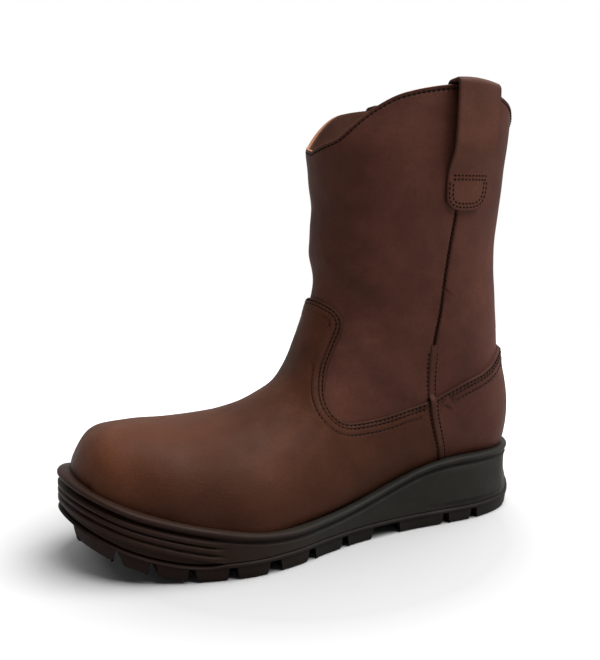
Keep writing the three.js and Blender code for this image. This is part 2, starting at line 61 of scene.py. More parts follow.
ROWS = [
  [302.5, 43.0, 302.5, 47.65, 2.01, 2.01, 0.45, 0.9, 0.9, -7, -7],
  [301, 38.5, 301, 57.9, 13.01, 12.88, 0.42, 0.8, 0.85, -7, -7],
  [297, 34.5, 297, 66.67, 23.97, 23.49, 0.38, 0.6, 0.8, -6.5, -6.5],
  [290, 30.5, 290, 75.4, 33.6, 32.59, 0.34, 0.5, 0.78, -6, -6],
  [280, 26.5, 280, 79.2, 40.57, 38.74, 0.31, 0.42, 0.76, -5, -5.5],
  [266, 21.5, 266, 80.1, 45.45, 42.27, 0.29, 0.38, 0.78, -3, -5],
  [248, 17.5, 248, 79.7, 51.46, 47.89, 0.28, 0.36, 0.84, -1, -4.5],
  [226, 15.5, 226, 80.0, 55.68, 51.34, 0.27, 0.36, 0.92, 0, -4],
  [203, 14.5, 204, 82.8, 57.83, 51.72, 0.27, 0.38, 0.98, 0, -3.5],
  [180, 14.5, 179.15, 91.8, 52.29, 46.06, 0.27, 0.42, 1, 0, -3],
  [152, 17, 164.14, 105.6, 45.47, 39.5, 0.28, 0.5, 1, 1, -2],
  [122, 21, 154.14, 127.46, 39.55, 35.6, 0.3, 0.6, 1, 1, -1.5],
  [88, 26, 147.49, 144.54, 37.74, 35.78, 0.34, 0.7, 0.98, 0.5, -1],
  [50, 28.5, 144.34, 155.48, 37.9, 36.93, 0.38, 0.8, 0.96, 0, -0.5],
  [18.28, 33, 143.08, 164, 38.53, 38.05, 0.42, 0.85, 0.95, 0, 0],
  [5.44, 52, 143.31, 173, 40.3, 40.3, 0.45, 0.9, 0.93, 0, 0],
  [4.5, 78, 144.35, 182, 42.1, 42.1, 0.47, 0.95, 0.92, 0, 0],
  [8.95, 104, 143.19, 191.5, 43.95, 43.95, 0.48, 0.98, 0.92, 0, 0],
  [11.1, 130, 142.33, 201.5, 45.52, 45.52, 0.48, 1, 0.92, 0, 0],
  [13.25, 157, 141.47, 212.5, 47.09, 47.09, 0.48, 1, 0.93, 0, 0],
  [12.95, 184, 142.57, 224.5, 49.17, 49.17, 0.48, 1, 0.93, 0, 0],
  [9.64, 211, 143.18, 237.5, 51.77, 51.77, 0.48, 1, 0.94, 0, 0],
  [5.84, 237, 143.58, 251, 53.41, 53.41, 0.48, 1, 0.95, 0, 0],
  [2.04, 262, 137.39, 266, 54.46, 54.46, 0.48, 1, 0.95, 0, 0],
  [2.48, 285, 131.01, 282, 54.95, 54.95, 0.48, 1, 0.95, 0, 0],
  [4.91, 304, 124.62, 299, 54.43, 54.43, 0.48, 1, 0.95, 0, 0],
]
COLLAR = [[-12, 257.5], [2.4, 258.6], [5, 263], [9, 267], [14, 270.7], [20.4, 273.5], [28, 275.7], [36, 277.5], [45, 279.2], [55, 280.9], [64.5, 281.7], [76, 281.2], [87, 279.8], [97, 278], [106, 275.5], [115.6, 270.5], [125.7, 262.8], [135, 253.7], [141, 247.3], [144, 244.8], [164, 240]]
VAMP_EDGE = [[168, 153], [146.5, 151.8], [142, 149.6], [137.8, 146], [134.9, 140.3], [135.1, 134.1], [140.2, 123.3], [145, 114], [147.6, 108.4], [150.3, 99.7], [151.6, 92.7], [151, 86.8], [148.7, 82.3], [145.1, 78.6], [140.2, 76.4], [127.2, 76.2], [113.5, 77.6], [96.5, 81.1], [79.8, 84.5]]
VAMP_UNDERLAP = [[172, 143], [150.5, 141], [146, 134], [149, 124], [154, 113], [159, 100], [161, 92], [160, 84], [156, 76], [149, 70.5], [140, 68], [127, 67.5], [113.5, 69], [96.5, 72.5], [79.8, 75.5]]
HEEL_EDGE = [[79.2, 84.9], [63.9, 91.4], [53.5, 95.7], [41.6, 99.6], [33.3, 103.6], [26.1, 108.2], [18, 112.5], [8, 115.5], [-12, 117]]
HEEL_UNDERLAP = [[79.2, 75.5], [64, 81.5], [53.5, 86], [41.6, 90], [33, 94], [26, 98.5], [15, 103], [-12, 105]]
SEAM = [[68.5, 30], [70.3, 44], [72.7, 53.2], [75.6, 63], [78.2, 74.5], [79.4, 86.6], [79.4, 104.5], [78.6, 120.6], [75.4, 142.9], [73.5, 162.7], [71, 182], [67.4, 205.6], [64, 240], [62, 300]]
RIM = [43.9, 43.6, 44.0, 43.8, 41.6, 36.3, 29.9, 24.8, 22.3, 21.9, 23.6, 26.9, 31.3, 36.7, 43.5, 52.3, 61.5]
FLOOR = [33.8, 32.6, 30.6, 29.6, 28.2, 25.9, 22.7, 19.8, 17.5, 15.9, 15.8, 16.6, 17.9, 21.2, 27.9, 36.5, 45.0]
FEATHER = [[302.7, -6.0], [296.3, 17.3], [280.2, 35.3], [258.5, 45.7], [234.7, 53.0], [210.8, 57.0], [187.3, 53.4], [164.1, 44.9], [140.7, 38.0], [116.9, 33.8], [92.8, 31.9], [68.2, 31.9], [43.6, 30.4], [20.7, 20.9], [8.3, 2.7], [16.6, -18.1], [38.8, -28.9], [63.3, -30.9], [87.8, -29.9], [112.1, -29.5], [136.1, -31.3], [159.6, -36.8], [182.8, -46.0], [205.9, -52.4], [229.8, -51.5], [254.8, -48.9], [278.7, -44.0], [296.1, -29.1]]
EDGE_LUGS = [[-12, 44], [51.5, 66.5], [73.5, 104], [127, 144], [151, 169.5], [177, 194], [204, 220.5], [228, 243.5], [250, 264], [270, 282], [287.5, 322]]
MIDDLE_LUGS = [[22, 50], [58, 88], [136, 153], [161, 178], [186, 203], [211, 228], [236, 251], [258, 272]]


# ------------------------------------------------------------------ curves and the form
class Spline:
    """Natural cubic through evenly spaced values."""

    def __init__(self, y):
        y = np.asarray(y, float)
        n = len(y)
        c, d, m2 = np.zeros(n), np.zeros(n), np.zeros(n)
        for i in range(1, n - 1):
            r = 6 * (y[i - 1] - 2 * y[i] + y[i + 1])
            m = 4 - c[i - 1]
            c[i] = 1 / m
            d[i] = (r - d[i - 1]) / m
        for i in range(n - 2, 0, -1):
            m2[i] = d[i] - c[i] * m2[i + 1]
        self.y, self.m2 = y, m2

    def __call__(self, t):
        n = len(self.y)
        u = np.clip(np.asarray(t, float), 0, n - 1)
        i = np.minimum(u.astype(int), n - 2)
        f = u - i
        g = 1 - f
        return g * self.y[i] + f * self.y[i + 1] + ((g**3 - g) * self.m2[i] + (f**3 - f) * self.m2[i + 1]) / 6


ROW = [Spline([r[k] for r in ROWS]) for k in range(11)]
_rim, _floor = Spline(RIM), Spline(FLOOR)
rim = lambda x: _rim(np.asarray(x, float) / 20)
floor_z = lambda x: _floor(np.asarray(x, float) / 20)


def ground(x):
    x = np.asarray(x, float)
    toe = TOE_SPRING * (np.maximum(x - SPRING_START, 0) / 75) ** 1.8
    heel = HEEL_BEVEL[1] * (np.maximum(HEEL_BEVEL[0] - x, 0) / HEEL_BEVEL[0]) ** 1.6
    return toe + heel


def line(pts, x):
    p = np.array(pts, float)
    if p[0, 0] > p[-1, 0]:
        p = p[::-1]
    return np.interp(x, p[:, 0], p[:, 1])


def form(t, a):
    t, a = np.broadcast_arrays(np.asarray(t, float), np.asarray(a, float))
    bx, bz, fx, fz, wl, wm, v0, eb, et, yb, yf = [s(t) for s in ROW]
    al = np.minimum(np.abs(a), 1) * np.pi
    low = al <= np.pi / 2
    e = np.where(low, eb, et)
    w = np.where(a >= 0, wl, wm)
    q = w * np.maximum(np.sin(al), 0) ** e
    cc = np.abs(np.cos(al)) ** e
    v = np.where(low, v0 * (1 - cc), v0 + (1 - v0) * cc)
    return np.stack([bx + (fx - bx) * v, yb + (yf - yb) * v + np.where(a >= 0, q, -q), bz + (fz - bz) * v], -1)


def unit(v):
    return v / np.maximum(np.linalg.norm(v, axis=-1, keepdims=True), 1e-12)


def outward(t, a, h=0.05, g=0.02):
    t, a = np.broadcast_arrays(np.asarray(t, float), np.asarray(a, float))
    wrap = lambda u: np.where(u > 1, u - 2, np.where(u < -1, u + 2, u))
    dt = form(np.minimum(t + h, 25), a) - form(np.maximum(t - h, 0), a)
    da = form(t, wrap(a + g)) - form(t, wrap(a - g))
    n = unit(np.cross(dt, da))
    mid = (form(t, 0 * a) + form(t, 0 * a + 1)) / 2
    flip = np.where(t > 0.01, (n * (form(t, a) - mid)).sum(-1) < 0, n[..., 0] < 0)
    return np.where(flip[..., None], -n, n)


def layer(t, a, d):
    """Point at distance d from the form. On the underside only a quarter of d counts downwards."""
    n = outward(t, a).copy()
    n[..., 2] = np.where(n[..., 2] < 0, n[..., 2] * 0.25, n[..., 2])
    return form(t, a) + n * np.asarray(d, float)[..., None]


def inverse(xz):
    """Section number and place (0 to 1) of side-view points."""
    xz = np.asarray(xz, float)
    tt, aa = np.meshgrid(np.linspace(0, 25, 301), np.linspace(0.002, 0.998, 121), indexing="ij")
    grid = form(tt, aa)[..., [0, 2]].reshape(-1, 2)
    best = np.array([((grid - p) ** 2).sum(1).argmin() for p in xz])
    t, a = tt.ravel()[best].copy(), aa.ravel()[best].copy()
    for _ in range(30):
        p = form(t, a)[..., [0, 2]]
        r = xz - p
        h = 1e-4
        jt = (form(np.minimum(t + h, 25), a) - form(np.maximum(t - h, 0), a))[..., [0, 2]] / (np.minimum(t + h, 25) - np.maximum(t - h, 0))[:, None]
        ja = (form(t, a + h) - form(t, a - h))[..., [0, 2]] / (2 * h)
        j = np.stack([jt, ja], -1)
        jj = np.einsum("nij,nik->njk", j, j) + np.eye(2) * 1e-3
        dx = np.linalg.solve(jj, np.einsum("nij,ni->nj", j, r)[..., None])[..., 0]
        t = np.clip(t + np.clip(dx[:, 0], -0.5, 0.5), 0, 25)
        a = np.clip(a + np.clip(dx[:, 1], -0.05, 0.05), 0.001, 0.999)
    return t, a


def catmull(p, closed=False, n=40):
    """Dense centripetal Catmull-Rom through points."""
    p = np.asarray(p, float)
    if closed:
        q = np.vstack([p[-1:], p, p[:2]])
    else:
        q = np.vstack([2 * p[0] - p[1], p, 2 * p[-1] - p[-2]])
    out = []
    for i in range(1, len(q) - 2):
        p0, p1, p2, p3 = q[i - 1 : i + 3]
        d = [max(np.linalg.norm(v) ** 0.5, 1e-4) for v in (p1 - p0, p2 - p1, p3 - p2)]
        t0, t1 = 0, d[0]
        t2 = t1 + d[1]
        t3 = t2 + d[2]
        t = np.linspace(t1, t2, n, endpoint=False)[:, None]
        a1 = (t1 - t) / (t1 - t0) * p0 + (t - t0) / (t1 - t0) * p1
        a2 = (t2 - t) / (t2 - t1) * p1 + (t - t1) / (t2 - t1) * p2
        a3 = (t3 - t) / (t3 - t2) * p2 + (t - t2) / (t3 - t2) * p3
        b1 = (t2 - t) / (t2 - t0) * a1 + (t - t0) / (t2 - t0) * a2
        b2 = (t3 - t) / (t3 - t1) * a2 + (t - t1) / (t3 - t1) * a3
        out.append((t2 - t) / (t2 - t1) * b1 + (t - t1) / (t2 - t1) * b2)
    out = np.vstack(out)
    return out if closed else np.vstack([out, p[-1:]])


def wob(p, wave, seed, n=7):
    """Smooth repeatable noise, about -1 to 1, from sines in fixed directions."""
    r = np.random.RandomState(seed)
    total = np.zeros(p.shape[:-1])
    for _ in range(n):
        d = r.normal(size=3)
        d /= np.linalg.norm(d)
        k = 2 * np.pi / (wave * r.uniform(0.7, 1.5))
        total += np.sin(p @ d * k + r.uniform(0, 6.28))
    return total / n**0.5


def smooth(x, lo, hi):
    f = np.clip((np.asarray(x, float) - lo) / (hi - lo), 0, 1)
    return f * f * (3 - 2 * f)


# ------------------------------------------------------------------ meshes
def make(name, verts, faces, mat, body="boot", attrs=None, sharp=None, replaces=()):
    """A mesh piece from points in the fit frame, mm."""
    me = bpy.data.meshes.new(name)
    me.from_pydata(((np.asarray(verts, float) - SHIFT) / 1000).tolist(), [], [list(map(int, f)) for f in faces])
    me.validate()
    me.update()
    for key, val in (attrs or {}).items():
        at = me.attributes.new(key, "FLOAT", "POINT")
        at.data.foreach_set("value", np.asarray(val, np.float32))
    me.materials.append(mat)
    me.polygons.foreach_set("use_smooth", [True] * len(me.polygons))
    if sharp:
        me.set_sharp_from_angle(angle=math.radians(sharp))
    ob = bpy.data.objects.new(name, me)
    scene.collection.objects.link(ob)
    if body:
        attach(ob, body)
    if replaces:
        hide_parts(*replaces)
    return ob


def fix_normals(ob):
    import bmesh

    bm = bmesh.new()
    bm.from_mesh(ob.data)
    bmesh.ops.recalc_face_normals(bm, faces=bm.faces)
    bm.to_mesh(ob.data)
    bm.free()
    ob.data.update()
    return ob


def rings_faces(nr, nc, closed_r=False, closed_c=True, flip=False):
    faces = []
    for i in range(nr if closed_r else nr - 1):
        for j in range(nc if closed_c else nc - 1):
            a, b = i * nc + j, i * nc + (j + 1) % nc
            c, d = ((i + 1) % nr) * nc + (j + 1) % nc, ((i + 1) % nr) * nc + j
            faces.append((d, c, b, a) if flip else (a, b, c, d))
    return faces


# ------------------------------------------------------------------ leather panels
SU, SV = 20.0, 150.0      # scale of the (section, place) plane, about mm


def place(v, kind):
    """Place round a section from the panel's own sideways coordinate: front panels count from the top, back panels from the bottom."""
    if kind == "back":
        return v
    return np.where(v >= 0, 1 - np.abs(v), -(1 - np.abs(v)))


def surf(t, v, kind, d=0.0):
    return layer(np.clip(t, 0, 25), place(v, kind), d)


def bare(t, v, kind):
    return form(np.clip(t, 0, 25), place(v, kind))


def resample(tv, kind, step):
    p = bare(tv[:, 0], tv[:, 1], kind)
    s = np.r_[0, np.cumsum(np.linalg.norm(np.diff(p, axis=0), axis=1))]
    n = max(int(round(s[-1] / step)), 2)
    q = np.linspace(0, s[-1], n + 1)
    return np.stack([np.interp(q, s, tv[:, 0]), np.interp(q, s, tv[:, 1])], -1)


def side_curve(xz, first=None, last=None, kind="front"):
    """Side-view points to a smooth curve in the panel's plane (outer side)."""
    t, a = inverse(xz)
    v = 1 - a if kind == "front" else a
    p = np.stack([t, v], -1)
    if first is not None:
        p = np.vstack([[first], p])
    if last is not None:
        p = np.vstack([p, [last]])
    c = catmull(p * [SU, SV], n=30) / [SU, SV]
    c[:, 1] = np.maximum(c[:, 1], 0)
    return c


def dense(pts, step=4.0, curved=True):
    """Side-view polyline with rounded corners, resampled."""
    p = catmull(pts, n=20) if curved else np.asarray(pts, float)
    s = np.r_[0, np.cumsum(np.linalg.norm(np.diff(p, axis=0), axis=1))]
    q = np.linspace(0, s[-1], max(int(s[-1] / step), 2) + 1)
    return np.stack([np.interp(q, s, p[:, 0]), np.interp(q, s, p[:, 1])], -1)


def mirror_loop(segments, kind, step):
    """Outer-side segments [(tag, curve)], from the middle line to the middle line, closed with their mirror images."""
    tv, tags = [], []
    for tag, c in segments:
        r = resample(c, kind, step)[:-1]
        tv.append(r)
        tags += [tag] * len(r)
    tv.append(segments[-1][1][-1:])
    tags.append(segments[-1][0])
    tv = np.vstack(tv)
    back = tv[::-1][1:-1] * [1, -1]
    tags_back = tags[::-1][1:-1]
    return np.vstack([tv, back]), np.array(tags + tags_back)


def frame_at(tv, kind):
    h = 1e-3
    t, v = tv[:, 0], tv[:, 1]
    lo, hi = np.maximum(t - h, 0), np.minimum(t + h, 25)
    pt = (bare(hi, v, kind) - bare(lo, v, kind)) / (hi - lo)[:, None]
    pv = (bare(t, v + h, kind) - bare(t, v - h, kind)) / (2 * h)
    return pt, pv, outward(t, place(v, kind))


def offset_curve(tv, kind, s, sign, closed=True):
    """Moves a curve sideways on the surface by s mm."""
    if closed:
        dtv = np.roll(tv, -1, 0) - np.roll(tv, 1, 0)
    else:
        dtv = np.gradient(tv, axis=0)
    pt, pv, n = frame_at(tv, kind)
    t3 = unit(pt * dtv[:, :1] + pv * dtv[:, 1:])
    w = np.cross(n, t3) * sign
    w = unit(w) * (s[:, None] if hasattr(s, "__len__") else s)
    a11, a12, a22 = (pt * pt).sum(1), (pt * pv).sum(1), (pv * pv).sum(1)
    b1, b2 = (pt * w).sum(1), (pv * w).sum(1)
    det = a11 * a22 - a12 * a12
    det = np.where(np.abs(det) < 1e-6, 1e-6, det)
    d = np.stack([(a22 * b1 - a12 * b2) / det, (a11 * b2 - a12 * b1) / det], -1)
    return tv + np.clip(d, [-0.8, -0.2], [0.8, 0.2])


def area2(p):
    x, y = p[:, 0], p[:, 1]
    return 0.5 * (x * np.roll(y, -1) - y * np.roll(x, -1)).sum()


def inside(poly, pts):
    x, y = pts[:, 0], pts[:, 1]
    c = np.zeros(len(pts), bool)
    j = len(poly) - 1
    for i in range(len(poly)):
        xi, yi, xj, yj = *poly[i], *poly[j]
        if yi != yj:
            hit = ((yi > y) != (yj > y)) & (x < (xj - xi) * (y - yi) / (yj - yi) + xi)
            c ^= hit
        j = i
    return c


class Edge:
    """Distance along the surface, nearly, to a panel's outline, and the tag of the nearest stretch."""

    def __init__(self, tv, tags, kind):
        m = 8
        nxt = np.roll(tv, -1, 0)
        f = (np.arange(m) / m)[None, :, None]
        d = (tv[:, None] * (1 - f) + nxt[:, None] * f).reshape(-1, 2)
        self.tags = np.repeat(tags, m)
        self.p = bare(d[:, 0], d[:, 1], kind)
        self.tree = KDTree(len(self.p))
        for i, q in enumerate(self.p):
            self.tree.insert(q, i)
        self.tree.balance()

    def __call__(self, pts):
        dist, idx = np.zeros(len(pts)), np.zeros(len(pts), int)
        for i, q in enumerate(pts):
            _, k, r = self.tree.find(q)
            dist[i], idx[i] = r, k
        return dist, self.tags[idx]


def panel(name, loop, tags, kind, d_in, d_out, mat, prof, rings, spacing=2.2, relief=None, raw=(), replaces=()):
    """A leather piece: a closed shell over its outline, with rounded cut edges and grooves where it is sewn.
    prof: tag to {"round": edge radius, "rows": [stitch distances], "puff": height}."""
    u = loop * [SU, SV]
    pt, pv, n = frame_at(loop, kind)
    hand = np.sign(np.median((np.cross(pt, pv) * n).sum(1)))
    sign = np.sign(area2(u)) * hand
    edge = Edge(loop, tags, kind)
    verts, edges = [u], [(i, (i + 1) % len(u)) for i in range(len(u))]
    count = len(u)
    for s in rings:
        r = offset_curve(loop, kind, s, sign)
        q = r * [SU, SV]
        dist, _ = edge(bare(r[:, 0], r[:, 1], kind))
        keep = (dist > s * 0.93 - 0.05) & inside(u, q)
        idx = np.flatnonzero(keep)
        verts.append(q[idx])
        new = {k: count + i for i, k in enumerate(idx)}
        if s <= 1.2:
            edges += [(new[k], new[(k + 1) % len(u)]) for k in idx if (k + 1) % len(u) in new]
        count += len(idx)
    lo, hi = u.min(0), u.max(0)
    gx, gy = np.meshgrid(np.arange(lo[0], hi[0], spacing), np.arange(lo[1], hi[1], spacing * 0.87))
    gx = gx + (np.arange(gx.shape[0]) % 2)[:, None] * spacing / 2
    g = np.stack([gx.ravel(), gy.ravel()], -1)
    g = g[inside(u, g)]
    dist, _ = edge(bare(g[:, 0] / SU, g[:, 1] / SV, kind))
    g = g[dist > rings[-1] + spacing * 0.6]
    verts.append(g)
    allv = np.vstack(verts)
    out = delaunay_2d_cdt([Vector(p) for p in allv], edges, [], 1, 1e-5, False)
    v2 = np.array([tuple(p) for p in out[0]])
    tris = np.array([f for f in out[2] if len(f) == 3], int)
    tris = tris[inside(u, v2[tris].mean(1))]
    t, v = v2[:, 0] / SU, v2[:, 1] / SV
    base = bare(t, v, kind)
    s, tag = edge(base)
    h = np.full(len(s), float(d_out))
    rowv = np.zeros(len(s))
    for name_tag, pr in prof.items():
        m = tag == name_tag
        r = pr.get("round", 1.0)
        f = np.clip(s / r, 0, 1)
        hh = d_in + (d_out - d_in) * np.sqrt(np.maximum(1 - (1 - f) ** 2, 0))
        for row in pr.get("rows", []):
            hh = hh - 0.42 * np.exp(-(((s - row) / 0.5) ** 2))
            rowv = np.where(m, np.maximum(rowv, np.exp(-(((s - row) / 0.5) ** 2))), rowv)
        rows = pr.get("rows", [])
        if len(rows) > 1:
            hh = hh + pr.get("puff", 0.2) * smooth(s, rows[0], rows[0] + 1) * (1 - smooth(s, rows[-1], rows[-1] + 5))
        h = np.where(m, hh, h)
    if relief is not None:
        h = h + relief(base, s) * smooth(s, 0.3, 3)
    top = surf(t, v, kind, h)
    # outline vertices are shared by both faces
    on_edge = s < 1e-3 + 0.02
    bot = surf(t, v, kind, np.full(len(t), float(d_in)))
    remap = np.where(on_edge, np.arange(len(t)), -1)
    k = len(t)
    extra = []
    for i in range(len(t)):
        if remap[i] < 0:
            remap[i] = k + len(extra)
            extra.append(i)
    pts = np.vstack([top, bot[extra]])
    # orientation
    a, b, c = top[tris[:, 0]], top[tris[:, 1]], top[tris[:, 2]]
    nn = outward(t, place(v, kind))
    good = ((np.cross(b - a, c - a)) * nn[tris[:, 0]]).sum(1).mean() > 0
    if not good:
        tris = tris[:, ::-1]
    faces = tris.tolist() + remap[tris[:, ::-1]].tolist()
    faces = [f for f in faces if len(set(f)) == 3]
    s_all = np.r_[s, s[extra]]
    rawv = np.zeros(len(pts))
    for rt in raw:
        near = (np.r_[tag, tag[extra]] == rt)
        rawv = np.maximum(rawv, np.where(near, 1 - smooth(s_all, 0.2, 0.55), 0))
    back = np.r_[np.zeros(len(t)), np.ones(len(extra))]
    ob = make(name, pts, faces, mat, attrs={"edge": s_all, "raw": rawv, "back": back, "row": np.r_[rowv, 0 * s[extra]]}, sharp=50, replaces=replaces)
    ob["panel"] = 1
    return ob, edge, sign


def curve_on(loop, tags, tag, kind, s, sign, edge, h, side=None):
    """Points, directions and normals along the line at distance s inside one stretch of a panel's outline."""
    r = offset_curve(loop, kind, s, sign)
    p = bare(r[:, 0], r[:, 1], kind)
    dist, near = edge(p)
    ok = (near == tag) & (dist > s * 0.93 - 0.05)
    runs, cur = [], []
    n = len(r)
    start = next((i for i in range(n) if not ok[i]), 0)
    for q in range(n + 1):
        i = (start + q) % n
        if q < n and ok[i]:
            cur.append(i)
        elif cur:
            runs.append(cur)
            cur = []
    out = []
    for run in runs:
        if len(run) > 3:
            tv = r[run]
            out.append((surf(tv[:, 0], tv[:, 1], kind, np.full(len(tv), h)), outward(tv[:, 0], place(tv[:, 1], kind))))
    return out


class Threads:
    """Collects stitches as small arched strands lying on the leather."""

    def __init__(self):
        self.v, self.f = [], []

    def strand(self, p0, p1, n, r=0.42, lift=0.42, sink=0.22, sides=6, parts=6):
        d = p1 - p0
        length = np.linalg.norm(d)
        if length < 0.2:
            return
        d = d / length
        n = n - d * (n @ d)
        n = n / max(np.linalg.norm(n), 1e-9)
        w = np.cross(d, n)
        base = len(self.v)
        for i in range(parts + 1):
            f = i / parts
            arch = math.sin(math.pi * f)
            c = p0 + d * length * f + n * (arch * lift - sink)
            rr = r * (0.6 + 0.4 * min(1, 3 * arch))
            for k in range(sides):
                th = 2 * math.pi * k / sides
                self.v.append(c + rr * (w * math.cos(th) * 1.15 + n * math.sin(th)))
        for i in range(parts):
            for k in range(sides):
                a, b = base + i * sides + k, base + i * sides + (k + 1) % sides
                self.f.append((a, a + sides, b + sides, b))
        self.f.append(tuple(base + k for k in range(sides)))
        self.f.append(tuple(base + parts * sides + k for k in range(sides))[::-1])

    def row(self, pts, nrm, pitch=2.95, length=2.1, slant=0.0, start=0.6, **kw):
        s = np.r_[0, np.cumsum(np.linalg.norm(np.diff(pts, axis=0), axis=1))]
        at = lambda q: np.array([np.interp(q, s, pts[:, k]) for k in range(3)])
        nat = lambda q: unit(np.array([np.interp(q, s, nrm[:, k]) for k in range(3)]))
        q = start
        while q + length < s[-1]:
            a, b, n = at(q), at(q + length), nat(q + length / 2)
            if slant:
                w = np.cross(unit(b - a), n)
                a, b = a + w * slant / 2, b - w * slant / 2
            self.strand(a, b, n, **kw)
            q += pitch

    def build(self, name, mat, body="boot", blend=None):
        ob = make(name, self.v, self.f, mat, body=None if blend else body)
        return ob


# ------------------------------------------------------------------ materials
class Mat:
    def __init__(self, name):
        self.m = bpy.data.materials.new(name)
        self.m.use_nodes = True
        self.nt = self.m.node_tree
        self.nt.nodes.clear()
        self.out = self.n("ShaderNodeOutputMaterial")
        self.b = self.n("ShaderNodeBsdfPrincipled")
        self.nt.links.new(self.b.outputs[0], self.out.inputs[0])
        self.co = self.n("ShaderNodeTexCoord").outputs["Object"]

    def n(self, kind, **kw):
        node = self.nt.nodes.new(kind)
        for k, v in kw.items():
            if k in node.inputs.keys():
                node.inputs[k].default_value = v
            else:
                setattr(node, k, v)
        return node

    def link(self, a, b):
        self.nt.links.new(a, b)

    def stretch(self, x, y, z):
        node = self.n("ShaderNodeMapping")
        node.inputs["Scale"].default_value = (x, y, z)
        self.link(self.co, node.inputs["Vector"])
        return node.outputs[0]

    def noise(self, scale, detail=3.0, rough=0.55, vec=None, distortion=0.0):
        node = self.n("ShaderNodeTexNoise", Scale=scale, Detail=detail, Roughness=rough, Distortion=distortion)
        self.link(vec or self.co, node.inputs["Vector"])
        return node.outputs["Fac"]

    def voronoi(self, scale, feature="F1", vec=None, rand=1.0):
        node = self.n("ShaderNodeTexVoronoi", feature=feature)
        node.inputs["Scale"].default_value = scale
        node.inputs["Randomness"].default_value = rand
        self.link(vec or self.co, node.inputs["Vector"])
        return node.outputs["Distance"]

    def ramp(self, fac, stops):
        node = self.n("ShaderNodeValToRGB")
        els = node.color_ramp.elements
        while len(els) < len(stops):
            els.new(0.5)
        for e, (p, c) in zip(els, stops):
            e.position = p
            e.color = (*c, 1) if len(c) == 3 else c
        self.link(fac, node.inputs[0])
        return node.outputs[0]

    def scalar(self, fac, lo, hi, a, b):
        node = self.n("ShaderNodeMapRange")
        for k, v in (("From Min", lo), ("From Max", hi), ("To Min", a), ("To Max", b)):
            node.inputs[k].default_value = v
        self.link(fac, node.inputs["Value"])
        return node.outputs[0]

    def mix(self, fac, a, b, mode="MIX"):
        node = self.n("ShaderNodeMix", data_type="RGBA", blend_type=mode)
        if hasattr(fac, "links"):
            self.link(fac, node.inputs[0])
        else:
            node.inputs[0].default_value = fac
        for val, k in ((a, 6), (b, 7)):
            if hasattr(val, "links"):
                self.link(val, node.inputs[k])
            else:
                node.inputs[k].default_value = (*val, 1)
        return node.outputs[2]

    def math(self, op, a, b=0.0):
        node = self.n("ShaderNodeMath", operation=op)
        for i, val in enumerate((a, b)):
            if hasattr(val, "links"):
                self.link(val, node.inputs[i])
            else:
                node.inputs[i].default_value = val
        return node.outputs[0]

    def attr(self, name):
        return self.n("ShaderNodeAttribute", attribute_name=name).outputs["Fac"]

    def bump(self, height, dist, strength=1.0, prev=None):
        node = self.n("ShaderNodeBump", Strength=strength, Distance=dist)
        self.link(height, node.inputs["Height"])
        if prev is not None:
            self.link(prev, node.inputs["Normal"])
        return node.outputs[0]

    def done(self, color=None, rough=None, normal=None, metal=0.0, spec=0.5, sheen=0.0, coat=0.0):
        if hasattr(color, "links"):
            self.link(color, self.b.inputs["Base Color"])
        elif color is not None:
            self.b.inputs["Base Color"].default_value = (*color, 1)
        if hasattr(rough, "links"):
            self.link(rough, self.b.inputs["Roughness"])
        elif rough is not None:
            self.b.inputs["Roughness"].default_value = rough
        if normal is not None:
            self.link(normal, self.b.inputs["Normal"])
        self.b.inputs["Metallic"].default_value = metal
        self.b.inputs["Specular IOR Level"].default_value = spec
        if sheen:
            self.b.inputs["Sheen Weight"].default_value = sheen
            self.b.inputs["Sheen Roughness"].default_value = 0.5
        if coat:
            self.b.inputs["Coat Weight"].default_value = coat
            self.b.inputs["Coat Roughness"].default_value = 0.3
        return self.m


def srgb(r, g, b):
    f = lambda c: c / 12.92 if c <= 0.04045 else ((c + 0.055) / 1.055) ** 2.4
    return tuple(f(c / 255) for c in (r, g, b))


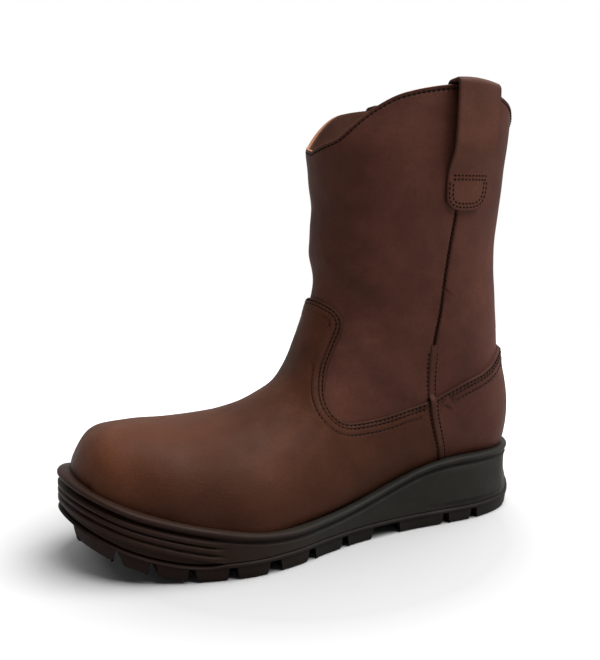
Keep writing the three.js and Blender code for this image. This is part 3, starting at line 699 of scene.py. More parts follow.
def leather(name, dark, mid, light, rough=0.5, grain=1.0, sheen=0.0, edges=True, shade_and_highlight=False):
    m = Mat(name)
    broad = m.noise(13, 4, 0.6, distortion=0.4)
    fine = m.noise(70, 4, 0.65)
    tone = m.math("ADD", m.math("MULTIPLY", broad, 0.72), m.math("MULTIPLY", fine, 0.28))
    color = m.ramp(tone, [(0.30, dark), (0.5, mid), (0.72, light)])
    # hair pores and tight creases
    cells = m.voronoi(620, rand=0.9)
    pores = m.scalar(m.voronoi(900), 0.0, 0.35, 0.0, 1.0)
    creases = m.noise(150, 5, 0.7, vec=m.stretch(1.0, 1.0, 2.6), distortion=0.8)
    speck = m.noise(420, 3, 0.6)
    color = m.mix(m.scalar(speck, 0.35, 0.75, 0.0, 0.35), color, tuple(c * 0.62 for c in mid))
    if shade_and_highlight:
        # painted light: darker towards the sole as painted shade, lighter over the toe top as a painted highlight
        sep = m.n("ShaderNodeSeparateXYZ")
        m.link(m.co, sep.inputs[0])
        # painted shade: the colour darkens towards the sole with height alone
        low = m.scalar(m.math("ADD", sep.outputs["Z"], m.scalar(m.noise(16, 3, 0.6), 0.3, 0.7, -0.008, 0.008)), 0.036, 0.074, 0.62, 0.0)
        color = m.mix(low, color, tuple(c * 0.42 for c in mid))
        # painted highlight: lighter round a point over the toe top
        toe_highlight_dist = m.n("ShaderNodeVectorMath", operation="DISTANCE")
        m.link(m.co, toe_highlight_dist.inputs[0])
        toe_highlight_dist.inputs[1].default_value = (0.105, 0.01, 0.085)
        color = m.mix(m.scalar(toe_highlight_dist.outputs["Value"], 0.012, 0.06, 0.45, 0.0), color, light)
    if edges:
        # burnished rim of each cut piece, and its raw edge where the fibre shows
        e = m.scalar(m.attr("edge"), 0.0, 2.2, 0.55, 0.0)
        color = m.mix(e, color, tuple(c * 0.5 for c in dark))
        color = m.mix(m.math("MULTIPLY", m.attr("row"), 0.7), color, tuple(c * 0.3 for c in dark))
        raw = m.attr("raw")
        color = m.mix(m.math("MULTIPLY", raw, m.scalar(fine, 0.3, 0.7, 0.75, 1.0)), color, srgb(128, 84, 58))
        color = m.mix(m.math("MULTIPLY", m.attr("back"), 1.0), color, srgb(92, 62, 46))
    n = m.bump(cells, 0.00010 * grain, 0.55)
    n = m.bump(pores, 0.00006 * grain, 0.5, n)
    n = m.bump(creases, 0.00050 * grain, 0.35, n)
    n = m.bump(m.noise(38, 3, 0.5), 0.0012, 0.18, n)
    r = m.scalar(m.noise(48, 4, 0.7), 0.3, 0.72, rough + 0.02, rough + 0.17)
    return m.done(color, r, n, sheen=sheen, spec=0.09)


# the vamp leather carries painted shade low down and a painted highlight over the toe top
LEATHER = leather("leather_oiled_brown", srgb(45, 21, 11), srgb(61, 32, 18), srgb(78, 44, 27), rough=0.54, shade_and_highlight=True)
LEATHER_SHAFT = leather("leather_shaft_brown", srgb(47, 23, 16), srgb(64, 35, 26), srgb(77, 44, 34), rough=0.58)
LEATHER_STRAP = leather("leather_strap_brown", srgb(50, 26, 19), srgb(68, 39, 29), srgb(82, 49, 37), rough=0.6, grain=1.2)
LEATHER_TRIM = leather("leather_seam_trim", srgb(46, 23, 15), srgb(63, 34, 24), srgb(76, 43, 31), rough=0.57)
FACING = leather("leather_collar_lining", srgb(46, 26, 19), srgb(62, 37, 27), srgb(76, 48, 36), rough=0.75, grain=1.4)


def thread(name, color):
    m = Mat(name)
    tw = m.noise(2600, 2, 0.5)
    return m.done(m.ramp(tw, [(0.3, tuple(c * 0.6 for c in color)), (0.7, color)]), 0.75, m.bump(tw, 0.0001, 0.6), spec=0.04)


THREAD = thread("waxed_thread_dark_brown", srgb(26, 13, 9))


def moulded(name, a, b, rough, tex=1.0, scuff=None, warm=None):
    m = Mat(name)
    tone = m.math("ADD", m.math("MULTIPLY", m.noise(18, 4, 0.6), 0.6), m.math("MULTIPLY", m.noise(160, 4, 0.7), 0.4))
    color = m.ramp(tone, [(0.3, a), (0.7, b)])
    if scuff:
        sc = m.scalar(m.noise(90, 6, 0.75, vec=m.stretch(1, 1, 5), distortion=0.5), 0.62, 0.78, 0.0, 0.5)
        color = m.mix(sc, color, scuff)
    if warm:
        sep = m.n("ShaderNodeSeparateXYZ")
        m.link(m.co, sep.inputs[0])
        k = m.math("ADD", sep.outputs["X"], m.scalar(m.noise(14, 3, 0.6), 0.3, 0.7, -0.02, 0.02))
        color = m.mix(m.scalar(k, 0.02, 0.10, 0.0, 0.85), color, warm)
    n = m.bump(m.noise(1500, 3, 0.6), 0.00008 * tex, 0.7)
    n = m.bump(m.noise(240, 4, 0.6), 0.00022 * tex, 0.4, n)
    r = m.scalar(m.noise(60, 4, 0.7), 0.3, 0.7, rough - 0.06, rough + 0.1)
    return m.done(color, r, n, spec=0.08)


SOLE = moulded("sole_foam_charcoal", srgb(23, 22, 19), srgb(34, 32, 28), 0.55, scuff=srgb(50, 45, 38), warm=srgb(36, 19, 12))
TREAD = moulded("outsole_rubber_black", srgb(18, 16, 14), srgb(29, 25, 21), 0.6, 1.4, scuff=srgb(48, 40, 33), warm=srgb(30, 16, 11))


def cloth(name, a, b, scale=520, rough=0.9, sheen=0.25):
    m = Mat(name)
    w = [m.n("ShaderNodeTexWave", wave_type="BANDS", bands_direction=d) for d in ("X", "Z", "Y")]
    for k in w:
        k.inputs["Scale"].default_value = scale / 2.2
        k.inputs["Distortion"].default_value = 0.6
        k.inputs["Detail"].default_value = 1.0
        m.link(m.co, k.inputs["Vector"])
    weave = m.math("MULTIPLY", m.math("ADD", w[0].outputs["Fac"], w[2].outputs["Fac"]), w[1].outputs["Fac"])
    tone = m.math("ADD", m.math("MULTIPLY", weave, 0.3), m.math("MULTIPLY", m.noise(25, 5, 0.7), 0.6))
    color = m.ramp(tone, [(0.25, a), (0.75, b)])
    n = m.bump(weave, 0.00025, 0.6)
    n = m.bump(m.noise(900, 3, 0.7), 0.00015, 0.5, n)
    return m.done(color, rough, n, sheen=sheen)


LINING = cloth("lining_mesh_cloth", srgb(74, 62, 54), srgb(118, 102, 90))
COVER = cloth("footbed_knit_cloth", srgb(34, 36, 38), srgb(62, 64, 66), scale=700)


def plain(name, a, b, rough, metal=0.0, scale=300.0, dist=0.0001, vec=None):
    m = Mat(name)
    v = m.stretch(*vec) if vec else None
    k = m.noise(scale, 5, 0.7, vec=v)
    return m.done(m.ramp(k, [(0.3, a), (0.7, b)]), m.scalar(k, 0.2, 0.8, rough - 0.08, rough + 0.08), m.bump(k, dist, 0.5), metal=metal)


STEEL = plain("pressed_steel", (0.42, 0.43, 0.44), (0.6, 0.61, 0.62), 0.38, 1.0, 220, 0.00004, (1, 14, 14))
BOARD = plain("fibre_board", srgb(150, 132, 100), srgb(184, 166, 132), 0.9, 0.0, 520)
STRIP_RUBBER = plain("edge_strip_rubber", srgb(46, 46, 48), srgb(70, 70, 72), 0.8)
STIFF = plain("stiffener_board", srgb(168, 160, 142), srgb(200, 192, 172), 0.85, 0.0, 420)
FOAM = plain("footbed_foam", srgb(48, 51, 54), srgb(72, 76, 80), 0.9, 0.0, 800, 0.0002)

for node, mat in (("steel_toe_cap", STEEL), ("steel_shank", STEEL), ("insole_board", BOARD), ("toe_cap_edge_strip", STRIP_RUBBER), ("heel_stiffener", STIFF)):
    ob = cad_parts[node]
    ob.data.materials.clear()
    ob.data.materials.append(mat)


# ------------------------------------------------------------------ the upper
STEP = 1.6


def middle_t(height, kind):
    """Section number where the middle line of the front or back reaches a height."""
    tt = np.linspace(10, 25, 3001)
    z = form(tt, 0 * tt + (1 if kind == "front" else 0))[:, 2]
    if kind == "back":
        ok = tt > 13.8
        return float(np.interp(height, z[ok], tt[ok]))
    return float(np.interp(height, z, tt))


def seam_pts(z0, z1, dx=0.0):
    z = np.arange(z0, z1, 3.0) if z1 > z0 else np.arange(z0, z1, -3.0)
    z = np.r_[z, z1]
    s = np.array(SEAM)
    sm = catmull(s, n=12)
    return np.stack([np.interp(z, sm[:, 1], sm[:, 0]) + dx, z], -1)


def lower_line(x0, x1, drop=4.0):
    x = np.linspace(x0, x1, max(int(abs(x1 - x0) / 5), 4))
    return np.stack([x, rim(x) - drop], -1)


seam_foot_z = float(rim(70)) - 4
foot_x = float(seam_pts(84, seam_foot_z)[-1, 0])

# vamp
c_top = side_curve(dense(VAMP_EDGE[2:], 3.0), first=(middle_t(151.9, "front"), 0.0))
c_top[0, 1] = 0
c_seam = side_curve(seam_pts(84.5, seam_foot_z, 0.1)[1:], first=c_top[-1])
toe_x = 299.0
c_low = side_curve(lower_line(foot_x + 3, toe_x), first=c_seam[-1], last=(0.35, 0.5))
c_toe = np.stack([np.full(30, 0.35), np.linspace(0.5, 0, 30)], -1)
VAMP_LOOP, VAMP_TAGS = mirror_loop([("top", c_top), ("seam", c_seam), ("low", c_low), ("toe", c_toe)], "front", STEP)


def vamp_relief(p, s):
    x, y, z = p[:, 0], p[:, 1], p[:, 2]
    flex = np.exp(-(((x - 178) / 24) ** 2)) * smooth(z, 45, 75)
    side = np.exp(-(((x - 150) / 30) ** 2)) * smooth(z, 36, 56) * (1 - smooth(z, 72, 84))
    fold = np.sin((x * 0.96 + z * 0.45) * 2 * np.pi / 15 + 1.4 * wob(p, 60, 3))
    return 0.22 * wob(p, 55, 11) + 0.10 * wob(p, 19, 12) + 0.16 * fold * flex + 0.14 * fold * side


edge_prof = {"round": 1.25, "rows": [1.75, 3.9, 8.0], "puff": 0.35}
free = {"round": 0.9}
RINGS = [0.12, 0.35, 0.7, 1.2, 1.75, 2.3, 2.85, 3.4, 3.9, 4.4, 5.2, 6.2, 7.2, 7.6, 8.0, 8.4, 9.0, 10.2]
vamp, vamp_edge, vamp_sign = panel("vamp_leather", VAMP_LOOP, VAMP_TAGS, "front", 0.15, 2.2, LEATHER, {"top": edge_prof, "seam": free, "low": free, "toe": free}, RINGS, relief=vamp_relief, replaces=["vamp"])

# heel cover
h_top = side_curve(dense([(79.2, 84.9)] + HEEL_EDGE[1:-2], 3.0), last=(middle_t(115.4, "back"), 0.0), kind="back")
h_seam = side_curve(seam_pts(seam_foot_z, 84.5, -0.1), last=h_top[0], kind="back")
h_low_x = np.linspace(16, foot_x - 3, 14)
h_low = side_curve(np.stack([h_low_x, rim(h_low_x) - 4], -1), first=(middle_t(39.5, "back"), 0.0), last=h_seam[0], kind="back")
HEEL_LOOP, HEEL_TAGS = mirror_loop([("low", h_low), ("seam", h_seam), ("top", h_top)], "back", STEP)


def heel_relief(p, s):
    x, z = p[:, 0], p[:, 2]
    return 0.2 * wob(p, 50, 21) + 0.08 * wob(p, 18, 22)


heel_prof = {"round": 1.25, "rows": [1.75, 3.9, 8.0], "puff": 0.3}
heel, heel_edge, heel_sign = panel("heel_cover_leather", HEEL_LOOP, HEEL_TAGS, "back", 0.15, 2.2, LEATHER_SHAFT, {"top": heel_prof, "seam": free, "low": free}, RINGS, relief=heel_relief, replaces=["heel_cover"])


def top_pts(x0, x1):
    c = catmull(COLLAR, n=16)
    lo, hi = min(x0, x1), max(x0, x1)
    m = (c[:, 0] > lo + 0.5) & (c[:, 0] < hi - 0.5)
    p = c[m]
    ends = [[x, np.interp(x, c[:, 0], c[:, 1])] for x in (x0, x1)]
    p = p if x0 < x1 else p[::-1]
    return np.vstack([[ends[0]], p, [ends[1]]])


def shaft_relief(p, s):
    x, y, z = p[:, 0], p[:, 1], p[:, 2]
    crease = np.sin((z + 0.18 * x) * 2 * np.pi / 13 + 1.2 * wob(p, 70, 5)) * np.exp(-(((z - 122) / 26) ** 2)) * smooth(x, 85, 135)
    ripple = np.sin((z + 0.12 * x) * 2 * np.pi / 6.5) * np.exp(-(((z - 226) / 7) ** 2)) * np.exp(-(((x - 100) / 14) ** 2)) * (y > 0)
    return 0.42 * wob(p, 75, 31) + 0.12 * wob(p, 24, 32) + 0.2 * crease + 0.09 * ripple


# shaft front
s_col = side_curve(dense(top_pts(136.5, 62.6), 3.0, curved=False), first=(middle_t(246.3, "front"), 0.0))
s_seam = side_curve(seam_pts(281, 78, 0.1), first=s_col[-1])
s_hid = side_curve(dense([p for p in VAMP_UNDERLAP[::-1] if p[0] < 149.6 or p[1] < 140][:-2], 4.0), first=s_seam[-1], last=(middle_t(139.5, "front"), 0.0))
SF_LOOP, SF_TAGS = mirror_loop([("collar", s_col), ("seam", s_seam), ("hid", s_hid)], "front", STEP)
SRINGS = [0.12, 0.3, 0.55, 0.9, 1.4, 1.9, 2.4, 2.9, 3.5, 4.5]
seam_prof = {"round": 1.5}
collar_prof = {"round": 0.45, "rows": [2.6]}
sfront, sf_edge, sf_sign = panel("shaft_front_leather", SF_LOOP, SF_TAGS, "front", -2.1, -0.1, LEATHER_SHAFT, {"collar": collar_prof, "seam": seam_prof}, SRINGS, relief=shaft_relief, raw=["collar"], replaces=["shaft_front"], spacing=2.4)

# shaft back
b_col = side_curve(dense(top_pts(62.2, 6.0), 2.0, curved=False), last=(middle_t(258.4, "back"), 0.0), kind="back")
b_seam = side_curve(seam_pts(78, 281, -0.1), last=b_col[0], kind="back")
b_hid_pts = dense(HEEL_UNDERLAP[:-1], 4.0)[1:]
b_hid = side_curve(b_hid_pts[::-1][2:], first=(middle_t(104.2, "back"), 0.0), last=b_seam[0], kind="back")
SB_LOOP, SB_TAGS = mirror_loop([("hid", b_hid), ("seam", b_seam), ("collar", b_col)], "back", STEP)
sback, sb_edge, sb_sign = panel("shaft_back_leather", SB_LOOP, SB_TAGS, "back", -2.1, -0.1, LEATHER_SHAFT, {"collar": collar_prof, "seam": seam_prof}, SRINGS, relief=shaft_relief, raw=["collar"], replaces=["shaft_back"], spacing=2.4)

# stitching of the upper
sew = Threads()
for loop, tags, edge, sign, kind in ((VAMP_LOOP, VAMP_TAGS, vamp_edge, vamp_sign, "front"), (HEEL_LOOP, HEEL_TAGS, heel_edge, heel_sign, "back")):
    for s, slant, h in ((1.75, 0.5, 2.12), (3.9, -0.5, 2.2), (8.0, 0.0, 2.1)):
        for pts, nrm in curve_on(loop, tags, "top", kind, s, sign, edge, h):
            sew.row(pts, nrm, slant=slant)
sew.build("stitching_vamp_and_heel", THREAD)

sew = Threads()
for loop, tags, edge, sign, kind in ((SF_LOOP, SF_TAGS, sf_edge, sf_sign, "front"), (SB_LOOP, SB_TAGS, sb_edge, sb_sign, "back")):
    for pts, nrm in curve_on(loop, tags, "collar", kind, 2.6, sign, edge, -0.3):
        sew.row(pts, nrm, pitch=3.1, length=2.1)
for side in (1, -1):
    sp = seam_pts(119, 204)
    t, a = inverse(dense(sp, 1.5, curved=False))
    pts = layer(t, a * side, np.full(len(t), -0.55))
    sew.row(pts, outward(t, a * side), pitch=2.9, length=1.5, slant=2.2 * side, r=0.42, lift=0.6, sink=-0.15)
sew.build("stitching_shaft", THREAD)


# ------------------------------------------------------------------ seam strips
def seam_strip(side, word):
    half = 2.2
    sp = dense(seam_pts(121, float(rim(71)) - 1.5), 1.2, curved=False)
    cross = np.array([-1.0, -0.92, -0.72, -0.4, 0, 0.4, 0.72, 0.92, 1.0])
    rise = np.array([0.0, 0.62, 0.92, 1.0, 0.9, 1.0, 0.92, 0.62, 0.0]) * 0.8
    rows = []
    for i, (x, z) in enumerate(sp):
        base = -0.15 + 2.35 * smooth(88.5 - z, 0, 4)
        xs = x + cross * half
        t, a = inverse(np.stack([xs, np.full(len(xs), z)], -1))
        end = smooth(121 - z, -0.5, 2.0)
        up = layer(t, a * side, base + rise * (0.4 + 0.6 * end) + 0.05)
        dn = layer(t[::-1], a[::-1] * side, np.full(len(xs), base - 0.6))
        rows.append(np.vstack([up, dn[1:-1]]))
    nc = len(rows[0])
    v = np.vstack(rows)
    f = rings_faces(len(rows), nc)
    f += [tuple(range(nc))[::-1], tuple((len(rows) - 1) * nc + k for k in range(nc))]
    ob = make(f"side_seam_strip_{word}_leather", v, f, LEATHER_TRIM, replaces=[f"side_seam_strip_{word}"], sharp=50,
              attrs={"edge": np.tile(np.r_[np.abs(np.abs(cross) - 1) * half, np.zeros(nc - len(cross))], len(rows))})
    fix_normals(ob)
    th = Threads()
    for off in (-2.9, 2.9):
        t, a = inverse(sp[4:] + [off, 0])
        d = -0.15 + 2.35 * smooth(86.0 - sp[4:, 1], 0, 3)
        th.row(layer(t, a * side, d + 0.02), outward(t, a * side), pitch=2.9)
    th.build(f"stitching_seam_strip_{word}", THREAD)


seam_strip(1, "left")
seam_strip(-1, "right")


# ------------------------------------------------------------------ the sole
from mathutils.bvhtree import BVHTree


def tree_of(*obs):
    v, f = [], []
    for ob in obs:
        base = len(v)
        v += [tuple(np.array(p.co) * 1000 + SHIFT) for p in ob.data.vertices]
        f += [[base + i for i in p.vertices] for p in ob.data.polygons]
    return BVHTree.FromPolygons(v, f)


upper_tree = tree_of(vamp, heel)
NS = 860
dense_f = catmull(FEATHER, closed=True, n=30)
ds = np.linalg.norm(np.roll(dense_f, -1, 0) - dense_f, axis=1)
ss = np.r_[0, np.cumsum(ds)]
q = np.linspace(0, ss[-1], NS, endpoint=False)
ring = np.vstack([dense_f, dense_f[:1]])
FE = np.stack([np.interp(q, ss, ring[:, 0]), np.interp(q, ss, ring[:, 1])], -1)
tan = unit(np.roll(FE, -1, 0) - np.roll(FE, 1, 0))
NRM = np.stack([tan[:, 1], -tan[:, 0]], -1)
if (NRM * (FE - FE.mean(0))).sum() < 0:
    NRM = -NRM
for _ in range(6):
    NRM = unit(NRM + 0.5 * (np.roll(NRM, 1, 0) + np.roll(NRM, -1, 0)))
W = WELT

OUT_X = (FE + NRM * W)[:, 0]
OUT_Y = (FE + NRM * W)[:, 1]
R = rim(OUT_X)
G = ground(OUT_X)
contact = np.zeros(NS)
for i in range(NS):
    o = FE[i] + NRM[i] * (W + 25)
    hit = upper_tree.ray_cast(Vector((o[0], o[1], R[i] - 0.7)), Vector((-NRM[i][0], -NRM[i][1], 0)))
    contact[i] = (W + 25 - hit[3]) if hit[0] is not None else np.nan
bad = np.isnan(contact)
contact[bad] = np.interp(np.flatnonzero(bad), np.flatnonzero(~bad), contact[~bad]) if bad.any() else contact[bad]
for _ in range(3):
    contact = (np.roll(contact, 1) + 2 * contact + np.roll(contact, -1)) / 4
contact = np.minimum(contact, W - 2.2)

# distance round the wall from the middle of the heel's back
OUT = np.stack([OUT_X, OUT_Y], -1)
along = np.r_[0, np.cumsum(np.linalg.norm(np.diff(OUT, axis=0), axis=1))]
whole = along[-1] + np.linalg.norm(OUT[0] - OUT[-1])
away = np.abs(along - along[OUT_X.argmin()])
away = np.minimum(away, whole - away)
PANEL_EDGE = away[np.where(OUT_Y > 0, np.abs(OUT_X - 11.5), 99).argmin()]
toe = smooth(OUT_X, 226, 238)
back = 1 - smooth(OUT_X, 3, 16)


def profile(i):
    r, g, c = R[i], G[i], contact[i]
    h = r - (g + 10.8)                      # wall height below the lip
    t, b = toe[i], back[i]
    pts = [(c - 1.4, r - 1.4), (c + 0.05, r - 0.45), ((c + W - 1.6) / 2, r - 0.12 + 0.1), (W - 1.9, r - 0.05), (W - 1.0, r - 0.45), (W - 0.4, r - 1.35), (W - 0.35, r - 2.2), (W - 0.8, r - 3.1), (W - 1.8, r - 3.6)]
    # groove under the lip
    pts += [(W - 3.1 - 0.8 * toe[i], r - 4.1), (W - 3.2 - 0.8 * toe[i], r - 5.2), (W - 2.3, r - 6.1), (W - 1.35, r - 6.75)]
    z0, z1 = r - 6.75, g + 10.8
    lines = []
    n = 26
    for k in range(1, n + 1):
        f = k / n
        z = z0 + (z1 - z0) * f
        base = W - 1.35 + 0.55 * f
        drop = r - z
        # toe ribs
        rib = 0.0
        for lo, hi in ((6.9, 9.2), (11.0, 13.4), (15.6, 18.2)):
            mid, half = (lo + hi) / 2, (hi - lo) / 2
            u = abs(drop - mid) / (half + 0.55)
            rib = max(rib, float(np.clip((1 - u) / 0.42, 0, 1)) ** 0.6)
        ribbed = base - 0.85 + 1.75 * rib
        # heel panel and the concave back
        low = (z - (g + 10.8)) / max(z0 - (g + 10.8), 1)
        px = OUT_X[i]
        off = away[i] - PANEL_EDGE - 9.5 - 7.0 * (1 - low) ** 1.8
        pan = float(smooth(off, -0.5, 0.6) * (1 - smooth(px, 60, 88)) * smooth(low, 0.10, 0.16) * (1 - smooth(low, 0.93, 1.0)))
        rim_line = float(np.exp(-(((off + 1.1) / 0.75) ** 2)) * smooth(low, 0.05, 0.12) * (px < 60))
        side = base - 0.5 * (1 - smooth(px, 70, 95)) + 1.2 * pan - 0.9 * rim_line
        side -= 1.5 * b * math.sin(math.pi * min(f * 1.15, 1)) * 0.8
        pts.append((base * (1 - t) * 0 + side * (1 - t) + ribbed * t, z))
    # parting groove above the outsole
    pts += [(W - 2.4 - 2.0 * toe[i], g + 10.65), (W - 7.0, g + 10.5), (-4.0, g + 10.6), (-4.0, r - 6.0), (c - 1.4, r - 5.0)]
    return pts


P = np.array([profile(i) for i in range(NS)])
nprof = P.shape[1]
wallv = np.zeros((NS, nprof, 3))
wallv[..., :2] = FE[:, None] + NRM[:, None] * P[..., :1]
wallv[..., 2] = P[..., 1]
f = rings_faces(NS, nprof, closed_r=True)
mid = make("sole_wall_and_lip", wallv.reshape(-1, 3), f, SOLE, replaces=["midsole"], sharp=62)
fix_normals(mid)

# outsole plate
tip = smooth(OUT_X, 262, 292)
prof = lambda i: [(W - 6.5, G[i] + 10.45 - 0.9 * toe[i]), (W - 2.6, G[i] + 10.4 - 0.9 * toe[i]), (W - 0.9, G[i] + 10.15 - 0.8 * toe[i]), (W - 0.1 + 0.15 * tip[i], G[i] + 9.4 - 0.6 * toe[i]), (W + 0.1 + 0.1 * tip[i], G[i] + 8.3), (W - 0.2, G[i] + 7.9), (W - 0.6, G[i] + 7.7)]
PP = np.array([prof(i) for i in range(NS)])
npf = PP.shape[1]
pv = np.zeros((NS, npf, 3))
pv[..., :2] = FE[:, None] + NRM[:, None] * PP[..., :1]
pv[..., 2] = PP[..., 1]
loops = [pv[:, k] for k in range(npf)]
mid_x = np.clip(FE[:, 0], 30, 268)
mid_y = np.interp(mid_x, [30, 110, 200, 268], [-1, 1.5, 2, -1])
core = np.stack([mid_x, mid_y], -1)
under = pv[:, -1]
for fr in (0.85, 0.6, 0.3, 0.02):
    xy = core + (under[:, :2] - core) * fr
    z = ground(xy[:, 0]) + 7.75
    loops.append(np.column_stack([xy, z]))
tops = []
for fr in (0.02, 0.4, 0.8):
    xy = core + (pv[:, 0, :2] - core) * fr
    tops.append(np.column_stack([xy, ground(xy[:, 0]) + 10.2]))
loops = loops + []
allv = np.stack(loops + tops, 1)
fo = rings_faces(NS, allv.shape[1], closed_r=True)
plate = make("outsole_plate", allv.reshape(-1, 3), fo, TREAD, replaces=["outsole"], sharp=55)
fix_normals(plate)


# lugs: the outsole outline cut into blocks
def outline(d):
    return FE + NRM * d


LV, LF = [], []


def add_block(x0, x1, y0, y1):
    end_x = 0 if x1 > 310 else (1 if x0 < 0 else None)
    levels = [(8.4, -0.75, 0.0), (6.0, -0.65, 0.0), (1.5, -1.35, 0.0), (0.45, -1.8, 0.35), (0.0, -2.7, 1.2)]
    polys = []
    for h, d, inset in levels:
        draft = (8.4 - h) * 0.16
        if end_x == 0:
            d = {8.4: -0.35, 6.0: -0.6, 1.5: -1.7, 0.45: -2.1, 0.0: -2.9}[h]
        i = inset + draft
        out = outline(W + d)
        lim = [(x0 - 1.6) + i, (x1 + 1.6) - i, y0 + (i if y0 > -80 else 0), y1 - (i if y1 < 80 else 0)]
        # keep the outline points by the station they come from, so that every level matches
        ok = (out[:, 0] > lim[0]) & (out[:, 0] < lim[1]) & (out[:, 1] > lim[2]) & (out[:, 1] < lim[3])
        polys.append((out, lim, ok))
    full = [p for p in polys]
    # station set of the block: those inside at the widest level
    out0, lim0, ok0 = full[0]
    idx = np.flatnonzero(ok0)
    if len(idx) == 0:
        rows = []
        for (out, lim, ok), (h, _, _) in zip(full, levels):
            c = np.array([[lim[0], lim[2]], [lim[1], lim[2]], [lim[1], lim[3]], [lim[0], lim[3]]])
            rows.append(np.column_stack([c, ground(c[:, 0]) + h]))
    else:
        # order the stations in a run
        gaps = np.flatnonzero(np.diff(idx) > 1)
        if len(gaps) == 1 and idx[0] == 0 and idx[-1] == NS - 1:
            idx = np.r_[idx[gaps[0] + 1:], idx[: gaps[0] + 1]]
        elif len(gaps):
            parts = np.split(idx, gaps + 1)
            idx = max(parts, key=len)
        rows = []
        for (out, lim, ok), (h, _, _) in zip(full, levels):
            o = out[idx].copy()
            o[:, 0] = np.clip(o[:, 0], lim[0], lim[1])
            o[:, 1] = np.clip(o[:, 1], lim[2], lim[3])
            a, b = o[0], o[-1]
            inner_y = lim[2] if y0 > -80 else lim[3]
            if end_x is None:
                first = a[0] < b[0]
                o[0, 0], o[-1, 0] = (lim[0], lim[1]) if first else (lim[1], lim[0])
                tail = [[o[-1, 0], inner_y], [o[0, 0], inner_y]]
            else:
                # the block wraps round the heel or the toe
                ex = lim[0] if end_x == 0 else lim[1]
                if abs(a[0] - ex) < abs(b[0] - ex):
                    o[0, 0], o[-1, 1] = ex, inner_y
                else:
                    o[-1, 0], o[0, 1] = ex, inner_y
                tail = [[ex, inner_y]]
            o = np.vstack([o, tail])
            rows.append(np.column_stack([o, ground(o[:, 0]) + h]))
    nc = len(rows[0])
    base = len(LV)
    LV.extend(np.vstack(rows).tolist())
    for fc in rings_faces(len(rows), nc):
        LF.append(tuple(base + k for k in fc))
    LF.append(tuple(base + k for k in range(nc))[::-1])
    LF.append(tuple(base + (len(rows) - 1) * nc + k for k in range(nc)))


for x0, x1 in EDGE_LUGS:
    hy = 13 if x1 < 110 else 17
    add_block(x0, x1, hy, 90)
    add_block(x0, x1, -90, -hy)
for x0, x1 in MIDDLE_LUGS:
    hy = 9 if x1 < 110 else 12
    add_block(x0, x1, -hy, hy)
lugs = make("outsole_lugs", LV, LF, TREAD, sharp=35)
fix_normals(lugs)


# ------------------------------------------------------------------ collar facing, lining and footbed
def t_at_height(a, z_of_x, guess_lo=12.0):
    """Section number where the form at place a meets a height that depends on x."""
    tt = np.linspace(guess_lo, 25, 900)
    p = form(tt, np.full_like(tt, a))
    d = p[:, 2] - z_of_x(p[:, 0])
    k = np.flatnonzero((d[:-1] < 0) & (d[1:] >= 0))
    if len(k) == 0:
        return float(tt[-1] if d[-1] < 0 else tt[0])
    i = k[-1]
    w = -d[i] / (d[i + 1] - d[i])
    return float(tt[i] + w * (tt[i + 1] - tt[i]))


A_RING = np.linspace(-1, 1, 181)[:-1]
depths = [0.0, 0.6, 2, 4, 8, 14, 20, 26, 32, 33.6, 34.2]
collar_line = catmull(COLLAR, n=16)
zc = lambda x: np.interp(x, collar_line[:, 0], collar_line[:, 1])
grid_t = np.array([[t_at_height(a, lambda x: zc(x) - dpt) for dpt in depths] for a in A_RING])


def facing_shell():
    outer, inner = [], []
    for k, dpt in enumerate(depths):
        t = grid_t[:, k]
        din = -3.5 if 0.6 <= dpt <= 33.6 else -3.1
        p = layer(t, A_RING, np.full(len(A_RING), din))
        p += outward(t, A_RING) * (0.12 * wob(p, 40, 41) + 0.06 * wob(p, 12, 42))[:, None]
        inner.append(p)
        outer.append(layer(t, A_RING, np.full(len(A_RING), -2.15)))
    rows = inner + outer[::-1]
    v = np.stack(rows, 1).reshape(-1, 3)
    e = np.tile(np.r_[np.array(depths), np.array(depths)[::-1]], len(A_RING))
    ob = make("collar_lining_leather", v, rings_faces(len(A_RING), len(rows), closed_r=True), FACING, replaces=["collar_facing"], attrs={"edge": e}, sharp=50)
    return fix_normals(ob)


facing = facing_shell()
th = Threads()
t = np.array([t_at_height(a, lambda x: zc(x) - 32.0) for a in A_RING])
pts = layer(t, A_RING, np.full(len(A_RING), -3.62))
th.row(np.vstack([pts, pts[:1]]), -np.vstack([outward(t, A_RING), outward(t[:1], A_RING[:1])]), pitch=3.2, length=2.3)
th.build("stitching_collar_lining", THREAD)

# lining sock: from under the collar lining to the toe
LT = np.r_[np.linspace(0, 1, 1), 0.25, 0.6, 1, 1.5, 2, 2.5, 3, np.arange(4, 25, 0.5)]
AL = np.linspace(-1, 1, 121)[:-1]
top_t = np.array([t_at_height(a, lambda x: zc(x) - 33.0) for a in AL])
rows_o, rows_i = [], []
for u in np.linspace(0, 1, 64):
    t = 0.35 + (top_t - 0.35) * u
    d_in = -3.6
    p = layer(t, AL, np.full(len(AL), d_in))
    p += outward(t, AL) * (0.25 * wob(p, 45, 51))[:, None] * 0.6
    floor_h = floor_z(np.clip(p[:, 0], 0, 320)) + 1.2
    rows_i.append(p)
    rows_o.append(layer(t, AL, np.full(len(AL), -2.6)))
rows = rows_i + rows_o[::-1]
v = np.stack(rows, 1)
v[..., 2] = np.maximum(v[..., 2], floor_z(np.clip(v[..., 0], 0, 320)) + 0.4)
lining = make("boot_lining_cloth", v.reshape(-1, 3), rings_faces(len(AL), len(rows), closed_r=True), LINING, replaces=["vamp_lining", "heel_lining", "shaft_lining"], sharp=60)
fix_normals(lining)

# footbed
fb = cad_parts["footbed"]


